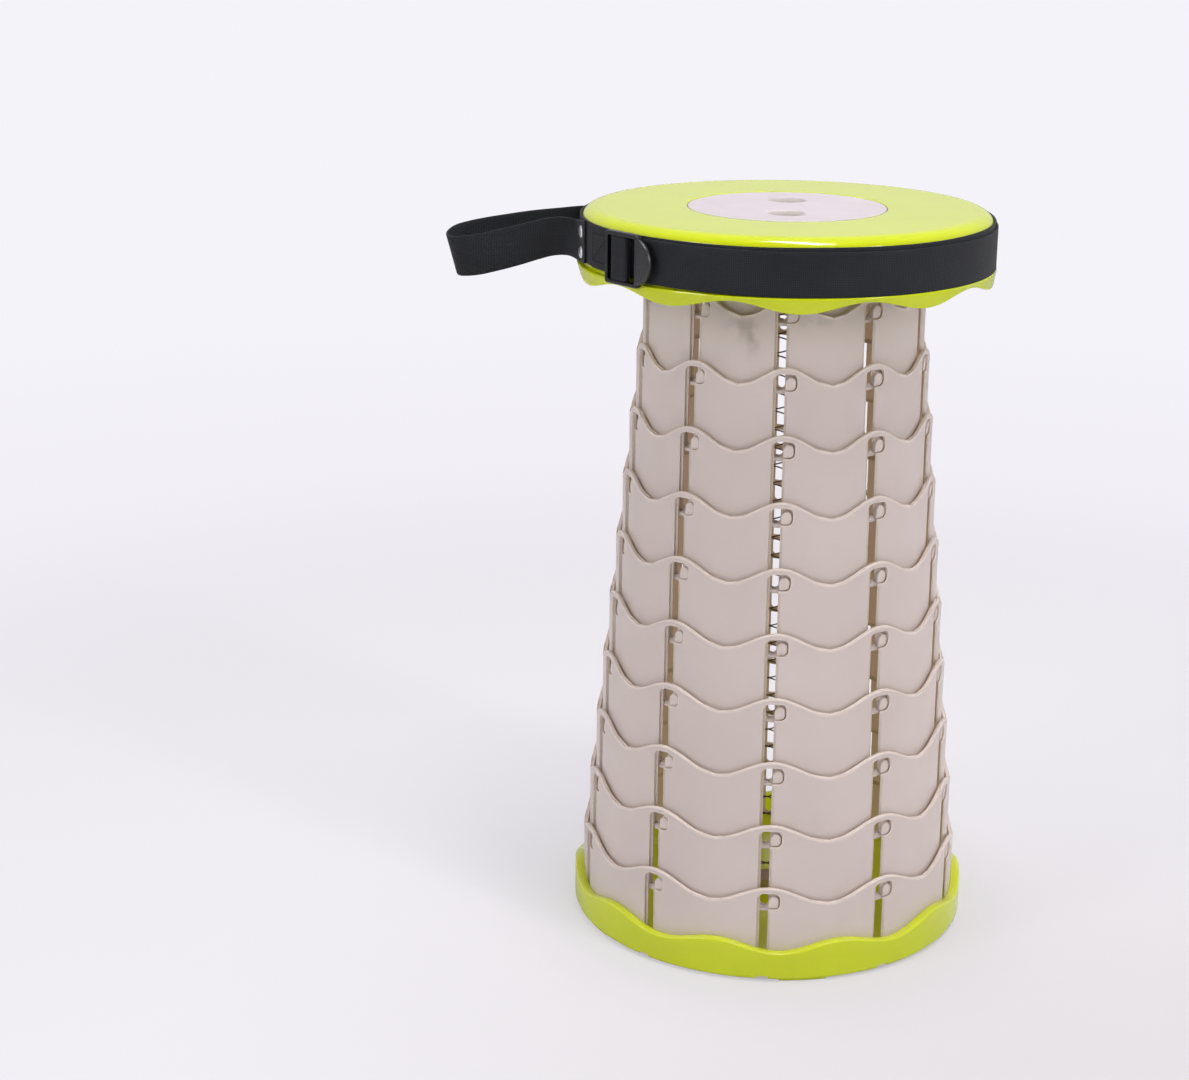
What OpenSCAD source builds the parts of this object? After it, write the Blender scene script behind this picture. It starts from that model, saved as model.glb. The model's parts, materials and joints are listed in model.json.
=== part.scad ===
// Telescopic folding step stool, standing at full height.
// Ten nested rings carry the seat. Each ring hangs its pegs in the pockets of the next wider ring.
// The axis is +Z, the floor is z = 0, and the front of the stool faces -Y.

/* [Seat] */
// Radius of the seat wall inside the strap groove
seat_r = 123.2; // [121.8:0.1:127]
// Thickness of the seat plate
seat_plate_t = 3; // [2.4:0.1:3.4]
// Width of the rolled edge of the seat, seen from above
seat_roll_w = 9.2; // [6:0.1:12]
// Height of the rolled edge of the seat
seat_roll_h = 7; // [5:0.1:8]
// Thickness of the seat wall behind the strap
seat_wall_t = 2.9; // [2.2:0.1:3]
// How far the skirt stands out past the seat wall
skirt_flare = 3.1; // [2.2:0.1:5]
// Thickness of the skirt
skirt_t = 2.6; // [1.8:0.1:3]
// Depth of the skirt below the strap groove, at its lobes
skirt_drop = 9; // [8:0.1:14]
// Height of the wave on the skirt and on the base hoop
hoop_wave = 6.2; // [2:0.1:7]
// Azimuth of a skirt lobe, from the front
hoop_wave_az = 4.2; // [0:0.1:8]

/* [Grip insert] */
// Radius of the round insert in the seat
insert_r = 59.7; // [50:0.1:66]
// Thickness of the insert
insert_t = 5.2; // [3:0.1:7]
// Diameter of a finger hole
finger_hole_d = 22.5; // [18:0.5:25]
// Distance between the two finger holes
finger_pitch = 54; // [52:0.5:60]
// Inner radius of the well under a finger hole
well_r = 15; // [13.5:0.1:16]
// Depth of the well below the recess floor
well_depth = 17; // [12:0.5:24]
// Thickness of the well and of the recess floor
well_t = 2.2; // [1.6:0.1:3]

/* [Rings] */
// Outer radius of the narrowest ring
ring_1_r = 85.6; // [82:0.1:86]
// How much wider each ring is than the one inside it
ring_grow = 3.75; // [3.6:0.05:3.8]
// Thickness of a ring wall
ring_wall = 2.2; // [2:0.05:2.4]
// Height of a ring from its lower edge to its crests
ring_h = 55; // [54:0.5:58]
// Height that each ring adds, and its travel
ring_step = 39.1; // [36:0.1:39.4]
// Height of the wave along the top of a ring
ring_wave = 10.8; // [6:0.1:12]
// Height of the thicker foot band of a ring
band_h = 3.6; // [3:0.1:3.8]
// Azimuth of a slot, from the front
slot_az = -0.3; // [-6:0.1:6]

/* [Slots and pegs] */
// Width of a slot
slot_w = 5.1; // [3:0.1:6]
// Height of the strip left under a slot
slot_sill = 3.4; // [2:0.1:5]
// Distance of a slot's head below the crest
slot_head = 3.7; // [3:0.1:5]
// Distance from the middle of a slot to the middle of its pocket
pocket_off = 6.1; // [5.5:0.1:7]
// Width of a peg
peg_w = 6.4; // [5:0.1:7]
// Height of a peg
peg_h = 7.6; // [6:0.1:8]
// Free space beside a peg in its pocket
peg_clr = 0.4; // [0.3:0.05:0.6]
// Free space over a peg in its pocket
peg_air = 2.3; // [1:0.1:3]
// Skin left outside the hidden track of a peg
track_skin = 0.7; // [0.5:0.05:0.9]

/* [Base] */
// Thickness of the base hoop round the fixed ring
hoop_t = 5.45; // [4:0.05:7.4]
// Thickness of the base floor
floor_t = 2.1; // [1.8:0.1:3]
// Height of the feet under the base
foot_h = 1.5; // [1:0.1:3]
// Number of arc feet
foot_count = 5; // [3:1:5]
// Angle that an arc foot covers
foot_arc = 13.5; // [8:0.5:18]
// Azimuth of the first arc foot
foot_az = 11.3; // [9:0.1:14]
// Radius of the round foot under the middle
mid_foot_r = 22; // [16:0.5:40]
// Width of a clip tab of the fixed ring
tab_w = 6.8; // [5:0.1:8]

/* [Spring] */
// Mean radius of the coil
coil_r = 6.5; // [4:0.1:7.5]
// Diameter of the spring wire
wire_d = 0.9; // [0.6:0.1:1]
// Number of turns of the coil
coil_turns = 36; // [20:1:36]
// Radius of a spring plug
plug_r = 8.4; // [8:0.1:9.5]
// Height of a spring plug
plug_h = 5; // [3:0.5:7]

/* [Strap] */
// Width of the webbing
web_w = 25.4; // [24:0.1:27]
// Thickness of the webbing
web_t = 1.2; // [0.8:0.05:1.4]
// How far the tail of the strap sits below the belt under it
tail_drop = 2.3; // [0:0.1:3]
// Azimuth where the tail of the strap ends
tail_end_az = 190; // [120:1:205]
// Azimuth of the buckle
buckle_az = -46; // [-50:0.5:-40]
// Width of the buckle along the strap
buckle_w = 28; // [22:0.5:28]
// Thickness of the buckle frame
buckle_t = 4; // [3:0.1:5]
// How far the thumb tab stands out from the buckle
thumb_reach = 11; // [6:0.5:13]
// Azimuth of the front rivets
rivet_az = -74; // [-76:0.5:-71]
// Azimuth of the rear rivets
rivet_rear_az = -106; // [-115:0.5:-100]
// Height between the two rivets of a pair
rivet_pitch = 12.4; // [10:0.1:14]
// Diameter of a rivet head
rivet_head_d = 7.4; // [5:0.1:8]
// How far the hand loop stands out from the rim
loop_reach = 80; // [60:1:100]
// How far the hand loop hangs down at its far end, in degrees
loop_droop = 8.5; // [4:0.5:12]

/* [Clearances] */
// Between sliding rings
slide_clr = 0.35; // [0.3:0.01:0.4]
// Between pieces that stay together
fit_clr = 0.2; // [0.1:0.01:0.3]
// Between the closed halves when the stool is folded
fold_clr = 2.3; // [0.4:0.1:3]

/* [Hidden] */
// One node for each ring: ring_1 is the narrowest
ring_count = 10;
// Slots, waves, pegs and clip tabs share this division of the circle
division = 10;
sector = 360 / division;
wave_points = 12;
crest_flat = 0.15;
eps = 0.01;
cut = 1;

floor_z = foot_h;
floor_top = floor_z + floor_t;
nest_z = floor_top + 0.4;
function ring_r(k) = ring_1_r + (k - 1) * ring_grow;
function ring_z(k) = nest_z + (ring_count - k) * ring_step;
function arc_deg(len, r) = len / r * 180 / PI;
function chord_in(r) = r * cos(sector / 2) - cut;
function slot_to_pocket(r) = arc_deg(pocket_off, r);
base_r = ring_r(ring_count) + fit_clr + hoop_t;
function crest_az(r) = slot_az + slot_to_pocket(r) / 2;
band_out = ring_grow - ring_wall - slide_clr;

// Heights of the pocket and its peg, below the crest of the ring that has the pocket
pocket_low = slot_head + peg_air + peg_h + fit_clr;
peg_mid_drop = pocket_low - fit_clr - peg_h / 2;
peg_out = ring_grow - track_skin - slide_clr;

// The seat's travel on ring 1 ends with a gap under its plate
seat_travel = ring_step - 2;
plate_gap = 0.8;
seat_h = ring_z(1) + ring_h + seat_travel + plate_gap + seat_plate_t;
plate_z = seat_h - seat_plate_t;
strap_drop = 4.7;
strap_z = seat_h - strap_drop - web_w;
groove_z = strap_z - tail_drop - fit_clr;
skirt_low = groove_z - skirt_drop;
total_travel = (ring_count - 1) * ring_step + seat_travel;
hoop_low = skirt_low - total_travel - fold_clr;
hoop_top = hoop_low + hoop_wave;

recess_z = seat_h - insert_t;
recess_r = insert_r + 0.4;
recess_low = recess_z - well_t;
belt_r = seat_r + fit_clr;
lap_clr = 0.15;
tail_r = belt_r + web_t + lap_clr;
tail_out = tail_r + web_t;
strap_mid = strap_z + web_w / 2;
tail_mid = strap_mid - tail_drop;
base_plug_z = floor_top + 4.4;
seat_plug_z = recess_low - plug_h;
stem_r = 3;

// The collar is screwed to posts under the seat plate, just inside its wall
post_w = 4.6;
post_gap = 1.55;
post_r = ring_r(0) - ring_wall - post_gap - post_w;
post_h = 10;
flange_t = 2.6;
screw_count = 5;
screw_r = 1.9;
flange_z = plate_z - post_h - flange_t;

// Small sizes that several pieces share: a hair of overlap that keeps round and flat cuts
// from running into each other, and the broken edges
blend = 0.05;
edge_break = 0.5;
hole_bevel = 1.2;
pocket_corner = 3.4;
collar_rim = 4;
tab_inset = 0.3;
seat_rim = 1.6;
ledge_w = 3;
ledge_t = 1.6;
skirt_taper = 1;
stem_h = 2;
flange_r = post_r - 6;
screw_head_r = 3.7;
screw_head_h = 2.3;

spring_z0 = base_plug_z + plug_h;
spring_z1 = seat_plug_z;
turn_steps = 8;
wire_sides = 6;
lead = 2.4;
coil_steps = coil_turns * turn_steps;

rivet_r = 1.6;
rivet_dome = 1.4;
cap_r = 3.2;
cap_t = 1;
tab_arc = 8;
fold_arc = 10.3;
bar_r = seat_r + skirt_flare + fit_clr;
bar_gap = 0.4;
rail_w = 2.9;
side_bar_w = 2.4;
wrap_bar_w = 11;
wrap_bar_t = 1.4;
wrap_mid = -buckle_w / 2 + side_bar_w + wrap_bar_w / 2 + web_t + bar_gap;
window_slack = 1.2;
buckle_corner = 1.6;
buckle_half = arc_deg(buckle_w / 2, belt_r);
loop_mid_x = -seat_r - loop_reach * 0.45;
loop_half = 16.5;
loop_pull = loop_reach * 0.3;
rim_pull = loop_reach * 0.15;
end_pull = loop_half * 2 / 3;
near_bulge = loop_half * 0.11;
far_bulge = loop_half * 0.145;
run_steps = 9;

lime = [0.76, 0.83, 0.17];
sand = [0.80, 0.75, 0.72];
blush = [0.91, 0.88, 0.89];
webbing_black = [0.15, 0.16, 0.19];
plastic_black = [0.13, 0.13, 0.14];
steel = [0.72, 0.73, 0.75];

// Turns a shape that faces the front to an azimuth, counted towards +X
module at_az(az) {
    rotate([0, 0, az]) children();
}

// Extrudes an outline in the (along the rim, up) plane outwards from radius r0 to r1
module radial(r0, r1) {
    translate([0, -r0, 0]) rotate([90, 0, 0]) linear_extrude(r1 - r0) children();
}

// A band between two radii and two heights over an arc that starts at az0
module arc_band(r0, r1, z0, z1, az0, arc) {
    rotate([0, 0, az0 - 90])
        rotate_extrude(angle = arc, $fn = 180)
            translate([r0, z0]) square([r1 - r0, z1 - z0]);
}

module full_band(r0, r1, z0, z1) {
    rotate_extrude($fn = 180) translate([r0, z0]) square([r1 - r0, z1 - z0]);
}

// One trough of a wave, a cosine between crests, as (along the rim, depth below the crest).
// It starts a little over the crest, and on a circle a little wider than the wall, so that
// neighbouring troughs meet outside the wall and leave a short flat on each crest.
function trough(r, height) =
    [for (i = [0:wave_points])
        let (a = sector * (i / wave_points - 0.5))
        [(r + cut / 2) * sin(a), (height + crest_flat) * (1 + cos(a * division)) / 2 - crest_flat]];

// Removes what lies over one trough of a wave, lowest at u = 0
module wave_over(r, crest_z, height) {
    edge = [for (p = trough(r, height)) [p[0], crest_z - p[1]]];
    polygon(concat([[edge[0][0], crest_z + cut]], edge, [[-edge[0][0], crest_z + cut]]));
}

// Removes what lies under one trough of a wave that hangs down, highest at u = 0
module wave_under(r, low_z, height) {
    edge = [for (p = trough(r, height)) [p[0], low_z + p[1]]];
    polygon(concat([[edge[0][0], low_z - cut]], edge, [[-edge[0][0], low_z - cut]]));
}

module around(first_az) {
    for (i = [0:division - 1]) at_az(first_az + i * sector) children();
}

// Opening outline, centred on the slot: the slot with its round head, and the pocket to its right.
// The pocket's right corners are round.
module opening_outline(r, low_z, crest_z, with_pocket) {
    head_r = slot_w / 2;
    top = crest_z - slot_head;
    middle = r * sin(slot_to_pocket(r));
    right = middle + peg_w / 2 + peg_clr;
    low = crest_z - pocket_low;
    translate([-slot_w / 2, low_z + head_r]) square([slot_w, top - 2 * head_r - blend - low_z]);
    translate([0, low_z + head_r + blend]) circle(r = head_r + blend, $fn = 48);
    translate([0, top - head_r]) circle(r = head_r + blend, $fn = 48);
    if (with_pocket) {
        translate([0, low]) square([right - pocket_corner, top - low]);
        translate([blend, low + pocket_corner]) square([right - 2 * blend, top - low - 2 * pocket_corner]);
        translate([right - pocket_corner, top - pocket_corner - blend]) circle(r = pocket_corner, $fn = 48);
        translate([right - pocket_corner, low + pocket_corner + blend]) circle(r = pocket_corner, $fn = 48);
    }
}

// Peg outline: flat towards the slot, round away from it, with its upper left corner cut off
module peg_outline() {
    nose = peg_w / 2 - 2 * blend;
    chamfer = peg_w / 3;
    polygon([
        [-peg_w / 2, -peg_h / 2],
        [peg_w / 2 - nose, -peg_h / 2],
        [peg_w / 2 - nose, peg_h / 2],
        [-peg_w / 2 + chamfer, peg_h / 2],
        [-peg_w / 2, peg_h / 2 - chamfer]
    ]);
    translate([peg_w / 2 - nose, peg_h / 2 - nose - blend]) circle(r = nose, $fn = 48);
    translate([peg_w / 2 - nose, -peg_h / 2 + nose + blend]) circle(r = nose, $fn = 48);
}

// Wall with a thicker foot band that guides the ring inside the next one
module banded_wall(r, low_z, top_z) {
    rotate_extrude($fn = 180)
        polygon([
            [r - ring_wall, low_z],
            [r + band_out - edge_break, low_z],
            [r + band_out, low_z + edge_break],
            [r + band_out, low_z + band_h],
            [r, low_z + band_h + band_out],
            [r, top_z],
            [r - ring_wall, top_z]
        ]);
}

// Pegs of ring k, where the pockets of ring k + 1 are
module pegs(k) {
    outer = ring_r(k + 1);
    peg_z = ring_z(k + 1) + ring_h - peg_mid_drop;
    around(slot_az + slot_to_pocket(outer))
        translate([0, 0, peg_z]) radial(ring_r(k) - ring_wall / 2, ring_r(k) + peg_out) peg_outline();
}

module openings(r, low_z, crest_z, with_pocket) {
    around(slot_az)
        radial(r - ring_wall - cut, r + band_out + cut)
            opening_outline(r, low_z + slot_sill, crest_z, with_pocket);
}

// Hidden tracks on the inner face, in which the pegs of the ring inside run down
module tracks(r, crest_z) {
    half = peg_w / 2 + peg_clr;
    arc = 2 * arc_deg(half, r);
    high = crest_z - pocket_low + pocket_corner + cut;
    low = crest_z - pocket_low - ring_step - peg_clr;
    for (i = [0:division - 1])
        arc_band(r - ring_wall - cut, r - track_skin, low, high,
            slot_az + slot_to_pocket(r) - arc / 2 + i * sector, arc);
}

module wave_cut(r, crest_z) {
    around(crest_az(r) + sector / 2)
        radial(chord_in(r - ring_wall), r + cut) wave_over(r, crest_z, ring_wave);
}

module ring(k) {
    r = ring_r(k);
    low_z = ring_z(k);
    crest_z = low_z + ring_h;
    color(sand) difference() {
        union() {
            if (k == ring_count) {
                full_band(r - ring_wall, r, floor_top, crest_z);
                clip_tabs(r);
            } else {
                banded_wall(r, low_z, crest_z);
                pegs(k);
            }
        }
        wave_cut(r, crest_z);
        openings(r, low_z, crest_z, true);
        tracks(r, crest_z);
    }
}

// Tabs under the fixed ring: down through a window in the floor, then out into a notch of the hoop
module clip_tabs(r) {
    around(slot_az) {
        translate([-tab_w / 2, -r + tab_inset, floor_z + fit_clr])
            cube([tab_w, ring_wall - 2 * tab_inset, floor_t - fit_clr + cut]);
        translate([-tab_w / 2, -base_r + 2 * tab_inset, floor_z + fit_clr])
            cube([tab_w, base_r - r + ring_wall - 3 * tab_inset, floor_t - 2 * fit_clr]);
    }
}

module base_cup() {
    r = ring_r(ring_count);
    hoop_in = r + fit_clr;
    color(lime) difference() {
        union() {
            rotate_extrude($fn = 180)
                polygon([
                    [0, floor_z],
                    [base_r - 2 * edge_break, floor_z],
                    [base_r, floor_z + 2 * edge_break],
                    [base_r, hoop_top],
                    [hoop_in, hoop_top],
                    [hoop_in, floor_top],
                    [0, floor_top]
                ]);
            cylinder(r = mid_foot_r, h = floor_z + floor_t / 2, $fn = 120);
            translate([0, 0, floor_z]) cylinder(r = plug_r + seat_rim, h = base_plug_z - floor_z, $fn = 96);
            for (i = [0:foot_count - 1])
                arc_band(hoop_in - seat_rim, base_r - seat_rim, 0, floor_z + floor_t / 2,
                    foot_az - foot_arc / 2 + i * 360 / foot_count, foot_arc);
        }
        around(hoop_wave_az) radial(chord_in(hoop_in), base_r + cut) wave_over(base_r, hoop_top, hoop_wave);
        around(slot_az)
            translate([-tab_w / 2 - fit_clr, -base_r - cut, floor_z - cut])
                cube([tab_w + 2 * fit_clr, base_r + cut - r + ring_wall, floor_t + cut]);
        translate([0, 0, base_plug_z - stem_h - cut])
            cylinder(r = stem_r + fit_clr / 2, h = stem_h + 2 * cut, $fn = 64);
    }
}

// The innermost sleeve: its pegs hang in ring 1, and its flange is screwed under the seat
module seat_collar() {
    r = ring_r(0);
    low_z = ring_z(0);
    color(sand) difference() {
        union() {
            banded_wall(r, low_z, plate_z);
            pegs(0);
            full_band(flange_r, r - ring_wall / 2, flange_z, flange_z + flange_t);
        }
        openings(r, low_z, plate_z - collar_rim, false);
        for (i = [0:screw_count - 1])
            at_az(i * 360 / screw_count)
                translate([0, -post_r, flange_z - cut])
                    cylinder(r = screw_r + fit_clr, h = flange_t + 2 * cut, $fn = 48);
    }
}

module collar_screws() {
    color(steel) for (i = [0:screw_count - 1])
        at_az(i * 360 / screw_count) translate([0, -post_r, flange_z]) {
            translate([0, 0, -screw_head_h]) cylinder(r = screw_head_r, h = screw_head_h, $fn = 48);
            cylinder(r = screw_r, h = post_h, $fn = 48);
        }
}

// Quarter of an ellipse from its side to its top, as points
function rolled_edge(cx, cz, w, h, steps) =
    [for (i = [0:steps]) [cx + w * cos(90 * i / steps), cz + h * sin(90 * i / steps)]];

module well_profile(r, depth) {
    steps = 10;
    polygon(concat(
        [[0, cut], [r, cut]],
        [for (i = [0:steps]) [r * cos(90 * i / steps), -(depth - r) - r * sin(90 * i / steps)]]
    ));
}

module well(r, depth) {
    rotate_extrude($fn = 96) well_profile(r, depth);
}

module rivet_bores(r) {
    for (az = [rivet_az, rivet_rear_az], side = [-1, 1])
        at_az(az) translate([0, -seat_r + 8, strap_mid + side * rivet_pitch / 2])
            rotate([90, 0, 0]) cylinder(r = r, h = 16, $fn = 48);
}

module seat_cover() {
    wall_in = seat_r - seat_wall_t;
    skirt_top_r = seat_r + skirt_flare;
    skirt_low_r = skirt_top_r - skirt_taper;
    color(lime) difference() {
        union() {
            rotate_extrude($fn = 180)
                polygon(concat(
                    [
                        [recess_r - ledge_w, recess_low - ledge_t],
                        [recess_r + well_t, recess_low - ledge_t],
                        [recess_r + well_t, plate_z],
                        [wall_in, plate_z],
                        [wall_in, groove_z],
                        [skirt_top_r - skirt_t, groove_z - skirt_t],
                        [skirt_low_r - skirt_t, skirt_low],
                        [skirt_low_r, skirt_low],
                        [skirt_top_r, groove_z - edge_break],
                        [skirt_top_r - edge_break, groove_z],
                        [seat_r, groove_z]
                    ],
                    rolled_edge(seat_r - seat_roll_w, seat_h - seat_roll_h, seat_roll_w, seat_roll_h, 8),
                    [
                        [recess_r, seat_h],
                        [recess_r, recess_low],
                        [recess_r - ledge_w, recess_low]
                    ]
                ));
            for (i = [0:screw_count - 1])
                at_az(i * 360 / screw_count)
                    translate([0, -post_r, plate_z - post_h]) cylinder(r = post_w, h = post_h + cut, $fn = 64);
        }
        for (i = [0:screw_count - 1])
            at_az(i * 360 / screw_count)
                translate([0, -post_r, plate_z - post_h - cut])
                    cylinder(r = screw_r + fit_clr / 2, h = post_h + cut, $fn = 48);
        around(hoop_wave_az + sector / 2)
            radial(chord_in(wall_in), skirt_top_r + cut)
                wave_under(skirt_top_r, skirt_low, hoop_wave);
        rivet_bores(rivet_r + lap_clr);
        for (az = [rivet_az, rivet_rear_az], side = [-1, 1])
            at_az(az) translate([0, -wall_in - cap_t, strap_mid + side * rivet_pitch / 2])
                rotate([-90, 0, 0]) cylinder(r = cap_r + fit_clr, h = cap_t + 2 * cut, $fn = 48);
    }
}

// Floor of the recess with the two finger wells. It lies on a ledge of the seat, under the insert.
module finger_tray() {
    color(lime) difference() {
        union() {
            translate([0, 0, recess_low]) cylinder(r = recess_r - fit_clr, h = well_t, $fn = 180);
            for (side = [-1, 1])
                translate([0, side * finger_pitch / 2, recess_z - cut])
                    well(well_r + well_t, well_depth + well_t - cut);
        }
        for (side = [-1, 1])
            translate([0, side * finger_pitch / 2, recess_z]) well(well_r, well_depth);
        translate([0, 0, recess_low - cut]) cylinder(r = stem_r + fit_clr / 2, h = well_t + 2 * cut, $fn = 64);
    }
}

module grip_insert() {
    color(blush) difference() {
        rotate_extrude($fn = 180)
            polygon([
                [0, recess_z],
                [insert_r, recess_z],
                [insert_r, seat_h - edge_break],
                [insert_r - edge_break, seat_h],
                [0, seat_h]
            ]);
        for (side = [-1, 1])
            translate([0, side * finger_pitch / 2, 0]) {
                translate([0, 0, recess_z - cut])
                    cylinder(r = finger_hole_d / 2, h = insert_t + 2 * cut, $fn = 96);
                translate([0, 0, seat_h - hole_bevel])
                    cylinder(r1 = finger_hole_d / 2, r2 = finger_hole_d / 2 + hole_bevel + cut,
                        h = hole_bevel + cut, $fn = 96);
            }
    }
}

module spring_plug(stem_up) {
    turn = stem_up ? 0 : 180;
    rotate([turn, 0, 0]) {
        cylinder(r = plug_r, h = plug_h, $fn = 96);
        translate([0, 0, plug_h - eps]) cylinder(r = stem_r, h = stem_h + eps, $fn = 64);
    }
}

module spring_plug_base() {
    color(plastic_black) translate([0, 0, base_plug_z + plug_h]) spring_plug(false);
}

module spring_plug_seat() {
    color(plastic_black) translate([0, 0, seat_plug_z]) spring_plug(true);
}

// The wire climbs from the base plug, winds at a steady pitch, and runs up into the seat plug
function coil_point(i) =
    let (a = 360 * i / turn_steps)
    [coil_r * cos(a), coil_r * sin(a), spring_z0 + lead + (spring_z1 - spring_z0 - 2 * lead) * i / coil_steps];
function wire_path() = concat(
    [[coil_r, 0, spring_z0], [coil_r, 0, spring_z0 + wire_d]],
    [for (i = [0:coil_steps]) coil_point(i)],
    [[coil_r, 0, spring_z1 - wire_d], [coil_r, 0, spring_z1]]
);
function unit(v) = v / norm(v);
function wire_heading(path, i) =
    i == 0 || i == len(path) - 1 ? [0, 0, 1] : unit(unit(path[i + 1] - path[i]) + unit(path[i] - path[i - 1]));
function wire_ring(path, i) =
    let (
        outward = unit([path[i][0], path[i][1], 0]),
        heading = wire_heading(path, i),
        side = unit(cross(heading, outward)),
        front = cross(side, heading)
    )
    [for (s = [0:wire_sides - 1])
        let (a = 360 * s / wire_sides)
        path[i] + wire_d / 2 * (cos(a) * front + sin(a) * side)];

// A closed tube of rings: triangles along the sides, and a fan at each end
module ringed_tube(rings, sides) {
    count = len(rings);
    points = [for (ring = rings, p = ring) p];
    walls = [for (i = [0:count - 2], s = [0:sides - 1])
        let (n = (s + 1) % sides, a = i * sides, b = (i + 1) * sides)
        each [[a + s, b + s, a + n], [a + n, b + s, b + n]]];
    foot = [for (s = [1:sides - 2]) [0, s, s + 1]];
    last = (count - 1) * sides;
    top = [for (s = [1:sides - 2]) [last, last + s + 1, last + s]];
    polyhedron(points, concat(walls, foot, top));
}

module spring() {
    path = wire_path();
    color(steel) ringed_tube([for (i = [0:len(path) - 1]) wire_ring(path, i)], wire_sides);
}

// Least distance between turns of the wire, measured on its own points
function least_gap(path) =
    min([for (i = [0:len(path) - 1], j = [i + turn_steps / 2:i + 2 * turn_steps])
        if (j < len(path)) norm(path[j] - path[i])]) - wire_d;
echo(spring_least_gap_mm = least_gap(wire_path()));

module strap_belt() {
    outer = belt_r + web_t;
    color(webbing_black) difference() {
        union() {
            full_band(belt_r, outer, strap_z, strap_z + web_w);
            arc_band(outer - eps, outer + web_t, strap_z, strap_z + web_w,
                buckle_az - buckle_half - bar_gap - fold_arc, fold_arc);
        }
        rivet_bores(rivet_r + lap_clr);
    }
}

// Rectangle with round corners, drawn about its centre
module round_rect(w, h, r) {
    square([w - 2 * r, h], center = true);
    square([w - 2 * blend, h - 2 * r], center = true);
    for (x = [-1, 1], y = [-1, 1])
        translate([x * (w / 2 - r), y * (h / 2 - r - blend / 2)]) circle(r = r, $fn = 48);
}

// The tail leaves the buckle and runs round the front to the back, and a short length wraps the bar
module strap_tail() {
    start = buckle_az + buckle_half + bar_gap;
    color(webbing_black) {
        arc_band(tail_r, tail_out, strap_z - tail_drop, strap_z - tail_drop + web_w,
            start, tail_end_az - start);
        at_az(buckle_az) translate([wrap_mid, -bar_r - buckle_t / 2, strap_z - tail_drop]) linear_extrude(web_w)
            difference() {
                round_rect(wrap_bar_w + 2 * web_t, wrap_bar_t + 2 * web_t, web_t + wrap_bar_t / 3);
                square([wrap_bar_w, wrap_bar_t], center = true);
            }
    }
}

module strap_buckle() {
    window_h = web_w + 2 * bar_gap;
    window_w = buckle_w - 2 * side_bar_w - window_slack;
    tall = window_h + 2 * rail_w;
    thumb_h = web_w - 1;
    thumb_r = (thumb_h * thumb_h / 4 + thumb_reach * thumb_reach) / (2 * thumb_reach);
    color(plastic_black) at_az(buckle_az) {
        difference() {
            radial(bar_r, bar_r + buckle_t) translate([0, tail_mid]) round_rect(buckle_w, tall, buckle_corner);
            radial(bar_r - cut, bar_r + buckle_t + cut)
                translate([-buckle_w / 2 + side_bar_w, tail_mid - window_h / 2]) square([window_w, window_h]);
        }
        radial(bar_r + (buckle_t - wrap_bar_t) / 2 + fit_clr / 2, bar_r + (buckle_t + wrap_bar_t) / 2 - fit_clr / 2)
            translate([wrap_mid - wrap_bar_w / 2 + fit_clr / 2, tail_mid - window_h / 2 - cut])
                square([wrap_bar_w - fit_clr, window_h + 2 * cut]);
        radial(bar_r + buckle_t / 3, bar_r + buckle_t * 0.8) intersection() {
            translate([buckle_w / 2 + thumb_reach - thumb_r, tail_mid]) circle(r = thumb_r, $fn = 96);
            translate([buckle_w / 2 - cut, tail_mid - thumb_h / 2]) square([thumb_reach + 2 * cut, thumb_h]);
        }
    }
}

// Route of the hand loop in plan: off the rim at the front rivets, out, round and back to the rear ones
function rim_point(az) = (tail_r + tail_out) / 2 * [sin(az), -cos(az)];
function rim_back(az) = [-cos(az), -sin(az)];
function bezier(p, t) =
    pow(1 - t, 3) * p[0] + 3 * t * pow(1 - t, 2) * p[1] + 3 * t * t * (1 - t) * p[2] + pow(t, 3) * p[3];
loop_front = rim_point(rivet_az - tab_arc / 2);
loop_rear = rim_point(rivet_rear_az + tab_arc / 2);
loop_far = [-seat_r - loop_reach, -1];
loop_runs = [
    [loop_front, loop_front + rim_pull * rim_back(rivet_az - tab_arc / 2),
        [loop_mid_x + rim_pull * 1.5, -loop_half - near_bulge], [loop_mid_x, -loop_half]],
    [[loop_mid_x, -loop_half], [loop_mid_x - loop_pull, -loop_half + far_bulge],
        loop_far + [0, -end_pull], loop_far],
    [loop_far, loop_far + [0, end_pull],
        [loop_mid_x - loop_pull, loop_half - far_bulge], [loop_mid_x, loop_half]],
    [[loop_mid_x, loop_half], [loop_mid_x + rim_pull * 1.5, loop_half + near_bulge],
        loop_rear - rim_pull * rim_back(rivet_rear_az + tab_arc / 2), loop_rear]
];
tab_steps = 4;
function tab_point(az, i) = rim_point(az + tab_arc / 2 - i * tab_arc / tab_steps);
function loop_route() = concat(
    [for (i = [0:tab_steps - 1]) tab_point(rivet_az, i)],
    [for (run = loop_runs, i = [0:run_steps - 1]) bezier(run, i / run_steps)],
    [for (i = [0:tab_steps]) tab_point(rivet_rear_az, i)]
);
function loop_heading(path, i) = unit(path[min(i + 1, len(path) - 1)] - path[max(i - 1, 0)]);
function loop_section(path, i) =
    let (
        out = max(0, -path[i][0] - seat_r - 2),
        lean = loop_droop * min(1, out / 20),
        heading = loop_heading(path, i),
        across = web_t / 2 * [heading[1], -heading[0], 0],
        up = web_w / 2 * [-sin(lean), 0, cos(lean)],
        middle = [path[i][0], path[i][1], strap_mid - out * tan(loop_droop)]
    )
    [middle + across + up, middle - across + up, middle - across - up, middle + across - up];

module hand_loop() {
    path = loop_route();
    color(webbing_black) difference() {
        ringed_tube([for (i = [0:len(path) - 1]) loop_section(path, i)], 4);
        rivet_bores(rivet_r + lap_clr);
    }
}

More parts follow.
